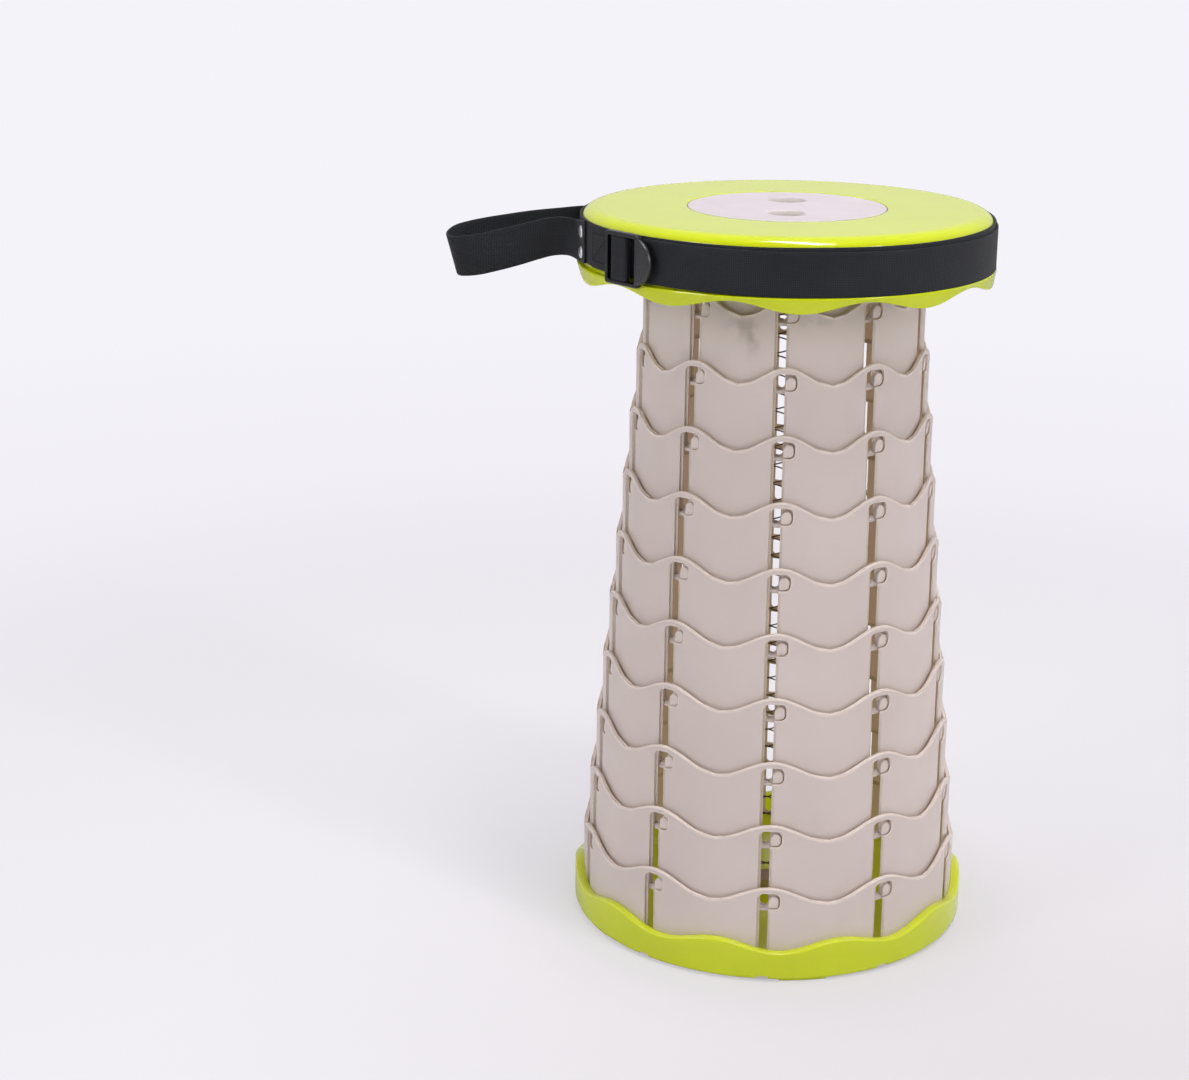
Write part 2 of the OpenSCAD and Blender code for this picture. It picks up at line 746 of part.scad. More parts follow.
module strap_rivets() {
    shank = tail_out - (seat_r - seat_wall_t) - fit_clr / 2;
    color(steel) for (az = [rivet_az, rivet_rear_az], side = [-1, 1])
        at_az(az) translate([0, -tail_out, strap_mid + side * rivet_pitch / 2])
            rotate([90, 0, 0]) rotate_extrude($fn = 64)
                polygon(concat(
                    [[0, -shank], [rivet_r, -shank], [rivet_r, blend]],
                    [for (i = [0:6])
                        [rivet_head_d / 2 * cos(15 * i), blend + rivet_dome * sin(15 * i)]]
                ));
}

module rivet_caps() {
    wall_in = seat_r - seat_wall_t;
    color(steel) for (az = [rivet_az, rivet_rear_az], side = [-1, 1])
        at_az(az) translate([0, -wall_in, strap_mid + side * rivet_pitch / 2])
            rotate([90, 0, 0]) difference() {
                cylinder(r = cap_r, h = cap_t - fit_clr, $fn = 48);
                translate([0, 0, -cut]) cylinder(r = rivet_r + fit_clr / 2, h = cap_t + 2 * cut, $fn = 48);
            }
}

base_cup();
for (k = [1:ring_count])
    ring(k);
seat_collar();
seat_cover();
finger_tray();
grip_insert();
collar_screws();
spring();
spring_plug_base();
spring_plug_seat();
strap_belt();
strap_tail();
strap_buckle();
hand_loop();
strap_rivets();
rivet_caps();
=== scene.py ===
# %% [markdown]
# # A telescopic step stool
# The stool is ten thin plastic rings that hang in each other, with a lime seat on top and a lime
# tray below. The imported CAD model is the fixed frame. This script dresses it: each visible piece
# is rebuilt as a smooth surface worked out with numpy, gets a node material, and rides on the
# CAD body that it belongs to. Sizes are millimetres, and angles degrees from the front (-Y)
# towards +X. Only the mesh writer turns millimetres into Blender's metres.

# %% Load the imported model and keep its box
import json
import math

import bmesh
import bpy
import numpy as np
from mathutils import Matrix, Vector


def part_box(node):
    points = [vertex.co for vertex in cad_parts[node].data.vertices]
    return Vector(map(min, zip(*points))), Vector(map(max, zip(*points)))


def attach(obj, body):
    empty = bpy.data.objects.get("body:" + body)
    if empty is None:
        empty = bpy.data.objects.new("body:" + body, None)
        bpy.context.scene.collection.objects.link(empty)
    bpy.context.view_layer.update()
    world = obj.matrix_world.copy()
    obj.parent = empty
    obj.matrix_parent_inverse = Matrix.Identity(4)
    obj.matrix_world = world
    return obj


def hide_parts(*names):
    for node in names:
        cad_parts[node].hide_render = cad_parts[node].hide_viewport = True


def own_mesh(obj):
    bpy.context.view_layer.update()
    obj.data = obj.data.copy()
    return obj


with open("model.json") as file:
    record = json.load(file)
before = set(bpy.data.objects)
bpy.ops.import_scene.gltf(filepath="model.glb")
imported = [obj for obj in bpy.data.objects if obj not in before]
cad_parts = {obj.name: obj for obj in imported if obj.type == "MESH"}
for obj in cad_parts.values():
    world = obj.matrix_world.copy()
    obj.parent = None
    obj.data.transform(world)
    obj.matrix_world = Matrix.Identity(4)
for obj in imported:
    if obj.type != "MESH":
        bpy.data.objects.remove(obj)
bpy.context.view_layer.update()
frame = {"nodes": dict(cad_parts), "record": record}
MM = 0.001


def put(name, data):
    """A new object in the scene."""
    made = bpy.data.objects.new(name, data)
    bpy.context.scene.collection.objects.link(made)
    return made


# %% [markdown]
# ## The camera
# The camera's place was worked out from the outlines of the seat, rings, base and insert. It
# stands 1.38 m in front of the stool, a little higher than the seat, and looks down by 17
# degrees. A pinhole camera needs a position, three turns and a focal length, so these are the
# only numbers here. The picture is 1189 by 1080 pixels, and its long side is the sensor's width.

# %% Camera from position, pitch, yaw, roll and focal length
PICTURE_WIDTH = 1189
FOCAL_PIXELS = 2286
CAMERA_PLACE = (0.0, -1.379, 0.6545)
PITCH, YAW, ROLL = math.radians(16.74), math.radians(-4.75), math.radians(0.45)


def camera_turn(pitch, yaw, roll):
    """Columns are right, up and back: forward tips down by pitch, then the frame rolls about it."""
    level = math.cos(pitch)
    forward = Vector((math.sin(yaw) * level, math.cos(yaw) * level, -math.sin(pitch)))
    right = forward.cross(Vector((0, 0, 1))).normalized()
    up = right.cross(forward)
    rolled_right = right * math.cos(roll) + up * math.sin(roll)
    rolled_up = up * math.cos(roll) - right * math.sin(roll)
    return Matrix((rolled_right, rolled_up, -forward)).transposed().to_4x4()


lens = bpy.data.cameras.new("photo_camera")
lens.sensor_width = 36
lens.lens = lens.sensor_width * FOCAL_PIXELS / PICTURE_WIDTH
camera = put("photo_camera", lens)
camera.matrix_world = Matrix.Translation(CAMERA_PLACE) @ camera_turn(PITCH, YAW, ROLL)
bpy.context.scene.camera = camera
print("focal length:", round(lens.lens, 2), "mm")

# %% [markdown]
# ## Points and grids
# Every surface below comes as a grid: rows and columns of points. A shell gathers the grids of
# one piece, turns them into four-sided faces, and keeps a few values per point that the materials
# use: how much an edge is painted paler, for rubbed wear and a painted highlight, or how strong
# a painted glow is, which stands in for light soaking through the wall.

# %% Points round the axis
UP = np.array([0, 0, 1.0])


def around(azimuth, radius, height):
    """Cylinder coordinates to a point: (r sin a, -r cos a, height)."""
    turn = np.radians(azimuth)
    return np.stack(np.broadcast_arrays(radius * np.sin(turn), -radius * np.cos(turn), height), axis=-1)


def rim_axes(azimuth):
    """Unit vectors at an azimuth: outward from the axis, and sideways along the rim."""
    return around(azimuth, 1.0, 0.0), around(azimuth + 90, 1.0, 0.0)


def spun(azimuths, profile):
    """A profile of (radius, height) at each azimuth; a height may change with the azimuth."""
    return np.stack([around(azimuths, r, z) for r, z in profile])


def unit(vectors):
    return vectors / np.linalg.norm(vectors, axis=-1, keepdims=True)


def circle(count, first, second):
    """cos(t) first + sin(t) second, at equal steps of t round the circle."""
    t = np.linspace(0, 2 * math.pi, count, endpoint=False)[:, None]
    return np.cos(t) * first + np.sin(t) * second


outward, sideways = rim_axes(90)
print("outward at 90 degrees:", outward.round(3), " sideways:", sideways.round(3))

# %% Shells
def grid_faces(rows, columns, start, wrap, keep):
    """Corner numbers of the faces between neighbouring rows and columns of a grid.
    wrap closes the last column onto the first, and keep picks the columns that get faces."""
    index = start + np.arange(rows * columns).reshape(rows, columns)
    right = np.roll(index, -1, axis=1)
    last = columns if wrap else columns - 1
    picked = np.arange(last) if keep is None else np.asarray(keep)
    quads = np.stack([index[:-1], right[:-1], right[1:], index[1:]], axis=-1)
    return quads[:, picked].reshape(-1, 4)


class Shell:
    """Gathers grids and flat ends of one piece, with a value per point for each attribute."""

    def __init__(self):
        self.points, self.faces, self.extra, self.count = [], [], {}, 0

    def add_points(self, points, values):
        points = np.asarray(points, float).reshape(-1, 3)
        start = self.count
        self.points.append(points)
        self.count += len(points)
        for key, value in values.items():
            value = np.asarray(value, float).reshape(len(points), -1)
            self.extra.setdefault(key, []).append((start, value))
        return start

    def add_grid(self, grid, wrap=False, keep=None, **values):
        start = self.add_points(grid, values)
        self.faces.append(grid_faces(*grid.shape[:2], start, wrap, keep))

    def add_bar(self, loops, **values):
        """Closed loops joined to a bar, with a flat end at the first and at the last one."""
        loops = np.stack(loops)
        self.add_grid(loops, wrap=True, **values)
        for end in (0, -1):
            start = self.add_points(loops[end], {key: value[end] for key, value in values.items()})
            self.faces.append(np.arange(start, self.count).reshape(1, -1))

    def add_turned(self, profile, centre=(0, 0, 0), steps=96):
        """Spins a profile about a vertical axis; points on the axis close it."""
        azimuths = np.linspace(0, 360, steps, endpoint=False)
        self.add_grid(spun(azimuths, profile) + centre, wrap=True)


print("a grid of 3 by 4 points that wraps has", len(grid_faces(3, 4, 0, True, None)), "faces")

# %% [markdown]
# ## Finishes
# All of the colours are in the nodes. The lime and the beige plastic are moulded: their colour is
# nearly even, so what makes them real is a soft gloss that breaks up a little, faint flow marks,
# and edges painted paler, partly rubbed wear and partly a painted highlight. The beige gets painted
# shade where its wall is set back, and the inner faces of the plastics get a painted glow for light
# through the wall. The webbing is woven, and its threads are drawn from a length and a width that
# each strap carries as an attribute; the tops of the threads get a painted highlight.

# %% Node helpers
def linear(red, green, blue):
    """A colour as it looks on a screen, 0 to 255, turned into the linear value that nodes use."""
    def one(value):
        value /= 255
        return value / 12.92 if value <= 0.04045 else ((value + 0.055) / 1.055) ** 2.4
    return (one(red), one(green), one(blue), 1.0)


def shade(colour, share):
    return tuple(share * c for c in colour[:3]) + (1.0,)


class Nodes:
    """The nodes of a material or a world. A value is a constant or another node's output."""

    def __init__(self, owner, empty=False):
        owner.use_nodes = True
        self.tree = owner.node_tree
        if empty:
            self.tree.nodes.clear()

    def feed(self, socket, value):
        if hasattr(value, "is_linked"):
            self.tree.links.new(value, socket)
        else:
            socket.default_value = value

    def add(self, kind, **settings):
        """A new node. A setting feeds the socket of that name, or else is an option of the node."""
        made = self.tree.nodes.new("ShaderNode" + kind)
        for key, value in settings.items():
            socket = key.replace("_", " ")
            if socket in made.inputs:
                self.feed(made.inputs[socket], value)
            else:
                setattr(made, key, value)
        return made

    def noise(self, scale, detail=2.0, stretch=(1, 1, 1), roughness=0.5):
        """Noise on object coordinates, stretched along an axis if wanted."""
        fit = self.add("Mapping", Vector=self.add("TexCoord").outputs["Object"], Scale=stretch)
        return self.add("TexNoise", Vector=fit.outputs["Vector"], Scale=scale, Detail=detail,
            Roughness=roughness).outputs["Fac"]

    def value(self, attribute):
        return self.add("Attribute", attribute_name=attribute).outputs["Fac"]

    def spread(self, value, low, high, out_low=0.0, out_high=1.0):
        """Stretches a value from low..high to out_low..out_high, softly and clamped."""
        return self.add("MapRange", interpolation_type="SMOOTHSTEP", Value=value, From_Min=low,
            From_Max=high, To_Min=out_low, To_Max=out_high).outputs["Result"]

    def mix(self, share, first, second):
        made = self.add("Mix", data_type="RGBA")
        for socket, value in ((0, share), (6, first), (7, second)):
            self.feed(made.inputs[socket], value)
        return made.outputs[2]

    def math(self, operation, *values):
        made = self.add("Math", operation=operation)
        for socket, value in zip(made.inputs, values):
            self.feed(socket, value)
        return made.outputs[0]

    def times(self, first, second):
        return self.math("MULTIPLY", first, second)


class Finish(Nodes):
    """A Principled material; constants are set on the shader's own sockets."""

    def __init__(self, name, **constants):
        self.material = bpy.data.materials.new(name)
        super().__init__(self.material)
        self.shader = self.tree.nodes["Principled BSDF"]
        self.set(**constants)

    def set(self, **values):
        for key, value in values.items():
            self.feed(self.shader.inputs[key.replace("_", " ")], value)

    def relief(self, height, distance, strength):
        """Bump from a height, at a real depth in metres."""
        self.set(Normal=self.add("Bump", Strength=strength, Distance=distance, Height=height).outputs["Normal"])


print("a mid grey of 128 is", round(linear(128, 128, 128)[0], 3), "in linear light")

# %% Moulded plastics: lime, beige, pale and black
# Flow marks and scuffs share the first tone; the second is painted shade on the ledges set back beside the slots. The
# last two shares are the strength of that painted shade and of a painted glow.
MARK_TONE, RECESS_SHADE = linear(150, 141, 130), linear(168, 152, 122)
FLOW_MARKS, SCUFF_SHARE, RECESS_SHADE_SHARE, PAINTED_GLOW = 0.25, 0.75, 0.45, 0.24


def worn_and_shaded(nodes, base):
    """Flow marks and grey scuffs, and painted shade where the wall is set back beside a slot."""
    streak = nodes.spread(nodes.noise(26.0, 3.0, stretch=(1.0, 1.0, 0.12)), 0.55, 0.78)
    cloud = nodes.spread(nodes.noise(17.0, 4.0, roughness=0.7), 0.5, 0.72)
    base = nodes.mix(nodes.times(nodes.times(streak, cloud), FLOW_MARKS), base, MARK_TONE)
    blot = nodes.spread(nodes.noise(90.0, 4.0), 0.36, 0.7, 0.0, SCUFF_SHARE)
    base = nodes.mix(nodes.times(nodes.value("scuff"), blot), base, MARK_TONE)
    return nodes.mix(nodes.times(nodes.value("recess"), RECESS_SHADE_SHARE), base, RECESS_SHADE)


def moulded(name, colour, pale, roughness, grain, grain_depth, edge_share, even=0.055, marks_and_shade=False, glow=None):
    """Even colour with slow variation, a gloss that varies, fine grain, and edges painted paler:
    partly rubbed wear, partly a painted highlight. One switch adds flow marks, scuffs and painted
    shade where the wall is set back. glow is the colour of a painted glow, an emission that stands in
    for light soaking through the plastic: it shows where a point's value called inside is above 0, as
    on the walls' inner faces."""
    nodes = Finish(name, Roughness=roughness)
    if glow:
        # A painted glow: emission on faces marked inside, standing in for light soaking through the plastic.
        nodes.set(Emission_Color=glow, Emission_Strength=nodes.times(nodes.value("inside"), PAINTED_GLOW))
    base = nodes.mix(nodes.spread(nodes.noise(14.0, 3.0), 0.3, 0.7), colour, shade(colour, 0.955))
    if marks_and_shade:
        base = worn_and_shaded(nodes, base)
    # Edges are painted paler: partly rubbed wear, partly a painted highlight where they catch the light.
    base = nodes.mix(nodes.times(nodes.value("rubbed"), edge_share), base, pale)
    gloss = nodes.spread(nodes.noise(55.0, 3.0), 0.3, 0.7, roughness - even, roughness + even)
    nodes.set(Base_Color=base, Roughness=gloss)
    nodes.relief(nodes.noise(grain), grain_depth, 0.35)
    return nodes.material


# The second colour of each plastic is its paler edge, for rubbed wear and a painted highlight; glow is the colour of
# a painted glow.
LIME = moulded("lime_moulding", linear(193, 204, 12), linear(220, 226, 70), 0.12, 40.0, 0.00001, 0.4,
    even=0.02, glow=linear(190, 205, 30))
BEIGE = moulded("beige_moulding", linear(202, 189, 183), linear(226, 212, 203), 0.40, 1100.0, 0.00004, 0.75,
    marks_and_shade=True, glow=linear(176, 150, 122))
PALE = moulded("pale_moulding", linear(198, 187, 192), linear(226, 217, 221), 0.5, 1200.0, 0.00006, 0.4,
    glow=linear(226, 214, 212))
BLACK = moulded("black_moulding", linear(15, 15, 18), linear(52, 52, 56), 0.27, 1500.0, 0.00005, 1.0)
print("plastics:", [m.name for m in (LIME, BEIGE, PALE, BLACK)])

# %% Metals
def bare_metal(name, colour, roughness):
    """Plated wire or a rivet: full metal with fine drawn lines in its gloss."""
    nodes = Finish(name, Roughness=roughness, Metallic=1.0)
    nodes.set(Base_Color=nodes.mix(nodes.noise(400.0), colour, shade(colour, 0.8)),
        Roughness=nodes.spread(nodes.noise(900.0), 0.3, 0.7, roughness - 0.06, roughness + 0.1))
    return nodes.material


WIRE = bare_metal("coil_wire", linear(120, 112, 100), 0.38)
RIVET = bare_metal("rivet_plating", linear(226, 226, 230), 0.36)
SCREW = bare_metal("screw_plating", linear(190, 192, 196), 0.34)
print("metals:", [m.name for m in (WIRE, RIVET, SCREW)])

# %% [markdown]
# ### Woven webbing
# Webbing is a dense plain weave: bundles of warp run along it, and each passes over and under
# the weft. Two sine waves, made positive and multiplied, give that grid of little domes, about a
# millimetre apart. They run on the strap's own length and width, so the weave follows each bend.

# %% Webbing and thread
WEAVE_LENGTH, WEAVE_WIDTH, WEAVE_DEPTH = 2.1, 1.9, 0.00016


def woven(name, dark, thread_highlight):
    """Height is |sin(length)| times |sin(width)|, and the tops of the threads get a painted highlight."""
    nodes = Finish(name, Roughness=0.72, Specular_IOR_Level=0.25, Sheen_Weight=0.06, Sheen_Roughness=0.5)
    strap = nodes.add("Attribute", attribute_name="strap").outputs["Vector"]
    parts = nodes.add("SeparateXYZ", Vector=strap).outputs
    waves = [nodes.math("SINE", nodes.times(parts[axis], 2 * math.pi / pitch))
        for axis, pitch in (("X", WEAVE_LENGTH), ("Y", WEAVE_WIDTH))]
    height = nodes.times(*(nodes.math("ABSOLUTE", wave) for wave in waves))
    fuzz = nodes.times(nodes.noise(1500.0), 0.3)
    # The thread tops are mixed towards the highlight colour: a painted highlight.
    cloth = nodes.mix(nodes.spread(nodes.math("ADD", height, fuzz), 0.1, 1.2), dark, thread_highlight)
    slow = nodes.spread(nodes.noise(30.0), 0.3, 0.7, 0.0, 0.35)
    nodes.set(Base_Color=nodes.mix(slow, cloth, shade(dark, 0.7)))
    nodes.relief(height, WEAVE_DEPTH, 0.7)
    return nodes.material


WEBBING = woven("woven_webbing", linear(13, 14, 18), linear(44, 47, 54))
THREAD = woven("sewing_thread", linear(10, 10, 13), linear(30, 31, 35))
FINISHES = {"lime_plastic": LIME, "beige_plastic": BEIGE, "pale_plastic": PALE, "webbing": WEBBING,
    "black_plastic": BLACK, "spring_wire": WIRE, "rivet_steel": RIVET, "screw_steel": SCREW}
print("cloth:", WEBBING.name, THREAD.name)

# %% [markdown]
# ## Writing meshes
# One helper writes all grids of a piece into one mesh. Points of neighbouring grids that coincide
# are joined, so that the surface is closed and its outside can be found. Then it's shaded smooth,
# with sharp edges kept sharp, and set on the CAD body that carries it. An edge that doesn't have
# two faces would be a gap, so these are counted.

# %% Mesh writer
WELD = 0.004


def open_edges(mesh):
    """How many edges don't have exactly two faces: none on a closed surface."""
    edges = np.zeros(len(mesh.loops), np.int32)
    mesh.loops.foreach_get("edge_index", edges)
    return int((np.bincount(edges, minlength=len(mesh.edges)) != 2).sum())


def write_piece(name, shell, slot, body="seat", sharp=40, material=None):
    """Makes the mesh in metres; a piece named as a CAD node is that node's skin and replaces it."""
    is_skin = name in frame["nodes"]
    title = f"{name}_skin" if is_skin else name
    points = np.concatenate(shell.points) * MM
    mesh = bpy.data.meshes.new(title)
    mesh.from_pydata(points.tolist(), [], [face for block in shell.faces for face in block.tolist()])
    for key, blocks in shell.extra.items():
        width = blocks[0][1].shape[1]
        values = np.zeros((len(points), width))
        for start, value in blocks:
            values[start:start + len(value)] = value
        kind, field = ("FLOAT_VECTOR", "vector") if width > 1 else ("FLOAT", "value")
        mesh.attributes.new(key, kind, "POINT").data.foreach_set(field, values.ravel())
    work = bmesh.new()
    work.from_mesh(mesh)
    bmesh.ops.remove_doubles(work, verts=work.verts, dist=WELD * MM)
    bmesh.ops.recalc_face_normals(work, faces=work.faces)
    work.to_mesh(mesh)
    work.free()
    mesh.polygons.foreach_set("use_smooth", np.ones(len(mesh.polygons), bool))
    mesh.set_sharp_from_angle(angle=math.radians(sharp))
    mesh.materials.append(material or FINISHES[slot])
    made = put(title, mesh)
    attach(made, body)
    if is_skin:
        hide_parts(name)
    print(f"{title}: {len(mesh.vertices)} points, {len(mesh.polygons)} faces, {open_edges(mesh)} open edges")
    return made


# %% [markdown]
# ## The rings
# All ten rings are one design at ten sizes. A ring's wall has ten slots, each with a pocket on
# its right, and a wavy top. It's worked out for one tenth of the circle: one loop of points runs
# round the slot and pocket, another round the tenth's edge, and straight lines join them. Rows
# of points lie close together near both loops, where edges are rounded, and far apart between.

# %% Sizes of the rings
RING_COUNT, SHARES = 10, 10
SECTOR = 360 / SHARES
RING_1_R, RING_GROW, RING_WALL = 85.6, 3.75, 2.2
RING_H, RING_STEP, RING_WAVE = 55.0, 39.1, 10.8
NEST_Z = 4.0
SLOT_AZ, SLOT_W, SLOT_SILL, SLOT_HEAD = -0.3, 5.1, 3.4, 3.7
POCKET_OFF, POCKET_DEEP, POCKET_CORNER, POCKET_FILLET = 6.1, 13.8, 3.4, 0.5
PEG_W, PEG_H, PEG_CLEAR, PEG_OUT, PEG_DROP = 6.4, 7.6, 0.4, 2.7, 9.8
BAND_OUT, BAND_H = 1.2, 3.0
SEAT_H, PLATE_T = 451.8, 3.0
PLATE_Z = SEAT_H - PLATE_T


def ring_radius(k):
    return RING_1_R + (k - 1) * RING_GROW


def ring_foot(k):
    return NEST_Z + (RING_COUNT - k) * RING_STEP


for k in (1, RING_COUNT):
    low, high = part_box(f"ring_{k}")
    print(f"ring_{k}: CAD z {low.z / MM:.1f} to {high.z / MM:.1f},",
        f"here {ring_foot(k):.1f} to {ring_foot(k) + RING_H:.1f}")

# %% Loops round an opening
LOOP_COUNTS = (32, 30, 32, 16)
COLUMNS = sum(LOOP_COUNTS)
CREST_RUN = np.arange(LOOP_COUNTS[0], LOOP_COUNTS[0] + LOOP_COUNTS[1])
FOOT_RUN = np.arange(COLUMNS - LOOP_COUNTS[3], COLUMNS + 1) % COLUMNS
EVEN_33 = np.linspace(0, 1, LOOP_COUNTS[0] + 1)
UPWARDS = np.interp(EVEN_33, [0, 0.375, 1], [0, 0.55, 1])
DOWNWARDS = 1 - UPWARDS[::-1]
ROUND_POCKET = np.interp(EVEN_33, [0, 0.625, 1], [0, 0.39, 1])


def arc(centre_u, centre_z, radius, first, last, steps=14):
    """Points of a circle between two angles in degrees."""
    angle = np.radians(np.linspace(first, last, steps))
    return np.stack([centre_u + radius * np.cos(angle), centre_z + radius * np.sin(angle)], axis=1)


def along_line(path):
    """Length along a line of points, from 0 at its first point."""
    return np.concatenate([[0], np.cumsum(np.linalg.norm(np.diff(path, axis=0), axis=1))])


def resample(path, shares):
    """Points along a line of points: at equal distances for a count, or at given shares of it."""
    length = along_line(path)
    wanted = length[-1] * (np.linspace(0, 1, shares + 1) if np.isscalar(shares) else shares)
    return np.stack([np.interp(wanted, length, path[:, i]) for i in range(2)], axis=1)


def opening_sides(foot, crest, pocket, head_drop):
    """The slot's outline as four runs, clockwise: left side up, head, right side down, foot."""
    half, top = SLOT_W / 2, crest - head_drop
    bottom, shoulder = foot + SLOT_SILL + half, top - half
    left = np.array([[-half, bottom], [-half, shoulder]])
    if pocket:
        corner, fillet, floor = POCKET_CORNER, POCKET_FILLET, crest - POCKET_DEEP
        turn_u = POCKET_OFF + PEG_W / 2 + PEG_CLEAR - corner
        head = np.concatenate([arc(0, shoulder, half, 180, 90), arc(turn_u, top - corner, corner, 90, 45)])
        side = np.concatenate([
            arc(turn_u, top - corner, corner, 45, 0), arc(turn_u, floor + corner, corner, 0, -90),
            arc(half + fillet, floor - fillet, fillet, 90, 180), [[half, bottom]]])
    else:
        head = arc(0, shoulder, half, 180, 0)
        side = np.array([[half, shoulder], [half, bottom]])
    return left, head, side, arc(0, bottom, half, 0, -180)


def closed_loop(runs, right):
    """Each run resampled to its own count, and joined end to start."""
    shares = (UPWARDS, LOOP_COUNTS[1], right, LOOP_COUNTS[3])
    return np.concatenate([resample(run, share)[:-1] for run, share in zip(runs, shares)])


print("points round an opening:", COLUMNS)

# %% [markdown]
# ### Rounded edges
# A rounded edge needs rows of points that follow it. The distance to the edge is known at every
# point, so the wall's surface just drops there by a quarter of a circle. Steps in the wall use a
# soft step of the distance instead, and two rows lie close to each of them to keep it crisp.

# %% One tenth of a ring
NEAR_ROWS = np.array([0, 0.1, 0.25, 0.45, 0.8, 1.2, 1.45, 1.8, 2.05, 2.6])
INNER_ROWS = np.array([0, 0.12, 0.35, 3.8, 8.0])


def row_shares(gap, near, middle):
    """Rows between two loops as shares of the gap: some at fixed distances from each loop, the
    rest evenly between. Where the gap is narrow, they lie closer, at even shares of it at most."""
    close = np.minimum(near[:, None] / gap, np.linspace(0, 0.45, len(near))[:, None])
    steps = np.linspace(0, 1, middle + 2)[1:-1, None]
    between = close[-1] + (1 - 2 * close[-1]) * steps
    return np.concatenate([close, between, 1 - close[::-1]])


def soft_step(value, low, high):
    """0 below low, 1 above high, and 3 s^2 - 2 s^3 between, with s the share of the way."""
    share = np.clip((value - low) / (high - low), 0, 1)
    return share * share * (3 - 2 * share)


def rounded(distance, radius):
    """How far a surface drops at a distance from a rounded edge: r - sqrt(r^2 - (r - d)^2)."""
    inside = np.clip(radius - distance, 0, radius)
    return radius - np.sqrt(radius ** 2 - inside ** 2)


def ring_tenth(radius, foot, crest, wave, pocket, head):
    """Two loops, and the rows between them, as (along, up) points, with each point's distance
    from the opening and from the top edge. The wave is a cosine with its crest over the middle."""
    width = radius * math.radians(SECTOR)
    middle = POCKET_OFF / 2
    left, right = middle - width / 2, middle + width / 2
    bottom = foot + BAND_H

    def top_of(along):
        return crest - wave * (1 - np.cos(2 * math.pi * (along - middle) / width)) / 2

    runs = opening_sides(foot, crest, pocket, head)
    inner = closed_loop(runs, ROUND_POCKET if pocket else DOWNWARDS)
    corners = np.array([(left, bottom), (left, top_of(left)), (right, top_of(right)), (right, bottom),
        (left, bottom)])
    outer = closed_loop([corners[i:i + 2] for i in range(4)], DOWNWARDS)
    outer[CREST_RUN, 1] = top_of(outer[CREST_RUN, 0])
    gap = np.linalg.norm(outer - inner, axis=1)
    span = np.linspace(left, right, 200)
    lines = np.concatenate([resample(run, 160) for run in runs]), np.stack([span, top_of(span)], axis=1)

    def fill(near, between):
        points = inner + (outer - inner) * row_shares(gap, near, between)[..., None]
        return points, *(np.linalg.norm(points[..., None, :] - line, axis=-1).min(axis=-1) for line in lines)

    return fill


print("rows across a wall:", len(row_shares(np.full(1, 20.0), NEAR_ROWS, 4)))

# %% [markdown]
# ### What is set back in a wall
# Left of each slot the outer face has a narrow ledge, and right of it, under the pocket, a
# shallower lip. Inside, the wall is thin under each pocket: the pegs of the next ring run down in
# these tracks when the stool folds.

# %% Ledges, tracks and scuffs
LEDGE_W, LEDGE_DEEP, LIP_W, LIP_DEEP = 1.8, 1.2, 1.2, 0.3
TRACK_SKIN, TRACK_END = 0.7, 12.5
BEAD_OUT, HOLE_ROUND, TOP_ROUND = 0.18, 0.4, 0.7
SCUFFS = ((-16.5, 393.0, 5.5, 6.5), (-11.5, 388.0, 2.0, 10.0), (11.0, 399.0, 7.0, 3.5))


def slot_ledges(along, up, from_hole, crest, head, pocket):
    """1 on the ledge, whose head is round like the slot's, and 1 on the lip, else 0."""
    wide = SLOT_W / 2 + LEDGE_W
    head_z, pocket_z = crest - head - wide, crest - POCKET_DEEP
    from_side = np.where(up < head_z, wide + along, wide - np.hypot(along, up - head_z))
    ledge = soft_step(from_side, 0.0, 0.25) * (along < 0)
    below = 1 - soft_step(up, pocket_z - 2.5, pocket_z - 0.5) * pocket
    lip = (1 - soft_step(from_hole, LIP_W + 0.02, LIP_W + 0.23)) * below * (along > 0)
    return ledge, lip


def track_share(along, up, crest):
    """1 under the pocket, where the wall is thin inside so that a peg can run down, else 0."""
    beside = soft_step(along, 0.0, 2.4) * (1 - soft_step(along, TRACK_END, TRACK_END + 2))
    track_top = crest - POCKET_DEEP + POCKET_CORNER
    return beside * (1 - soft_step(up, track_top, track_top + 1.9))


def scuffed(points):
    """Grey scuffs near the top of the stool: bells round a few places, on the front only."""
    azimuth = np.degrees(np.arctan2(points[..., 0], -points[..., 1]))
    bells = [np.exp(-((azimuth - a) / da) ** 2 - ((points[..., 2] - z) / dz) ** 2) for a, z, da, dz in SCUFFS]
    return np.clip(sum(bells), 0, 1)


print("wall left at the ledge, lip and track:", [round(v, 2) for v in (
    RING_WALL - LEDGE_DEEP, RING_WALL - LIP_DEEP, TRACK_SKIN)])

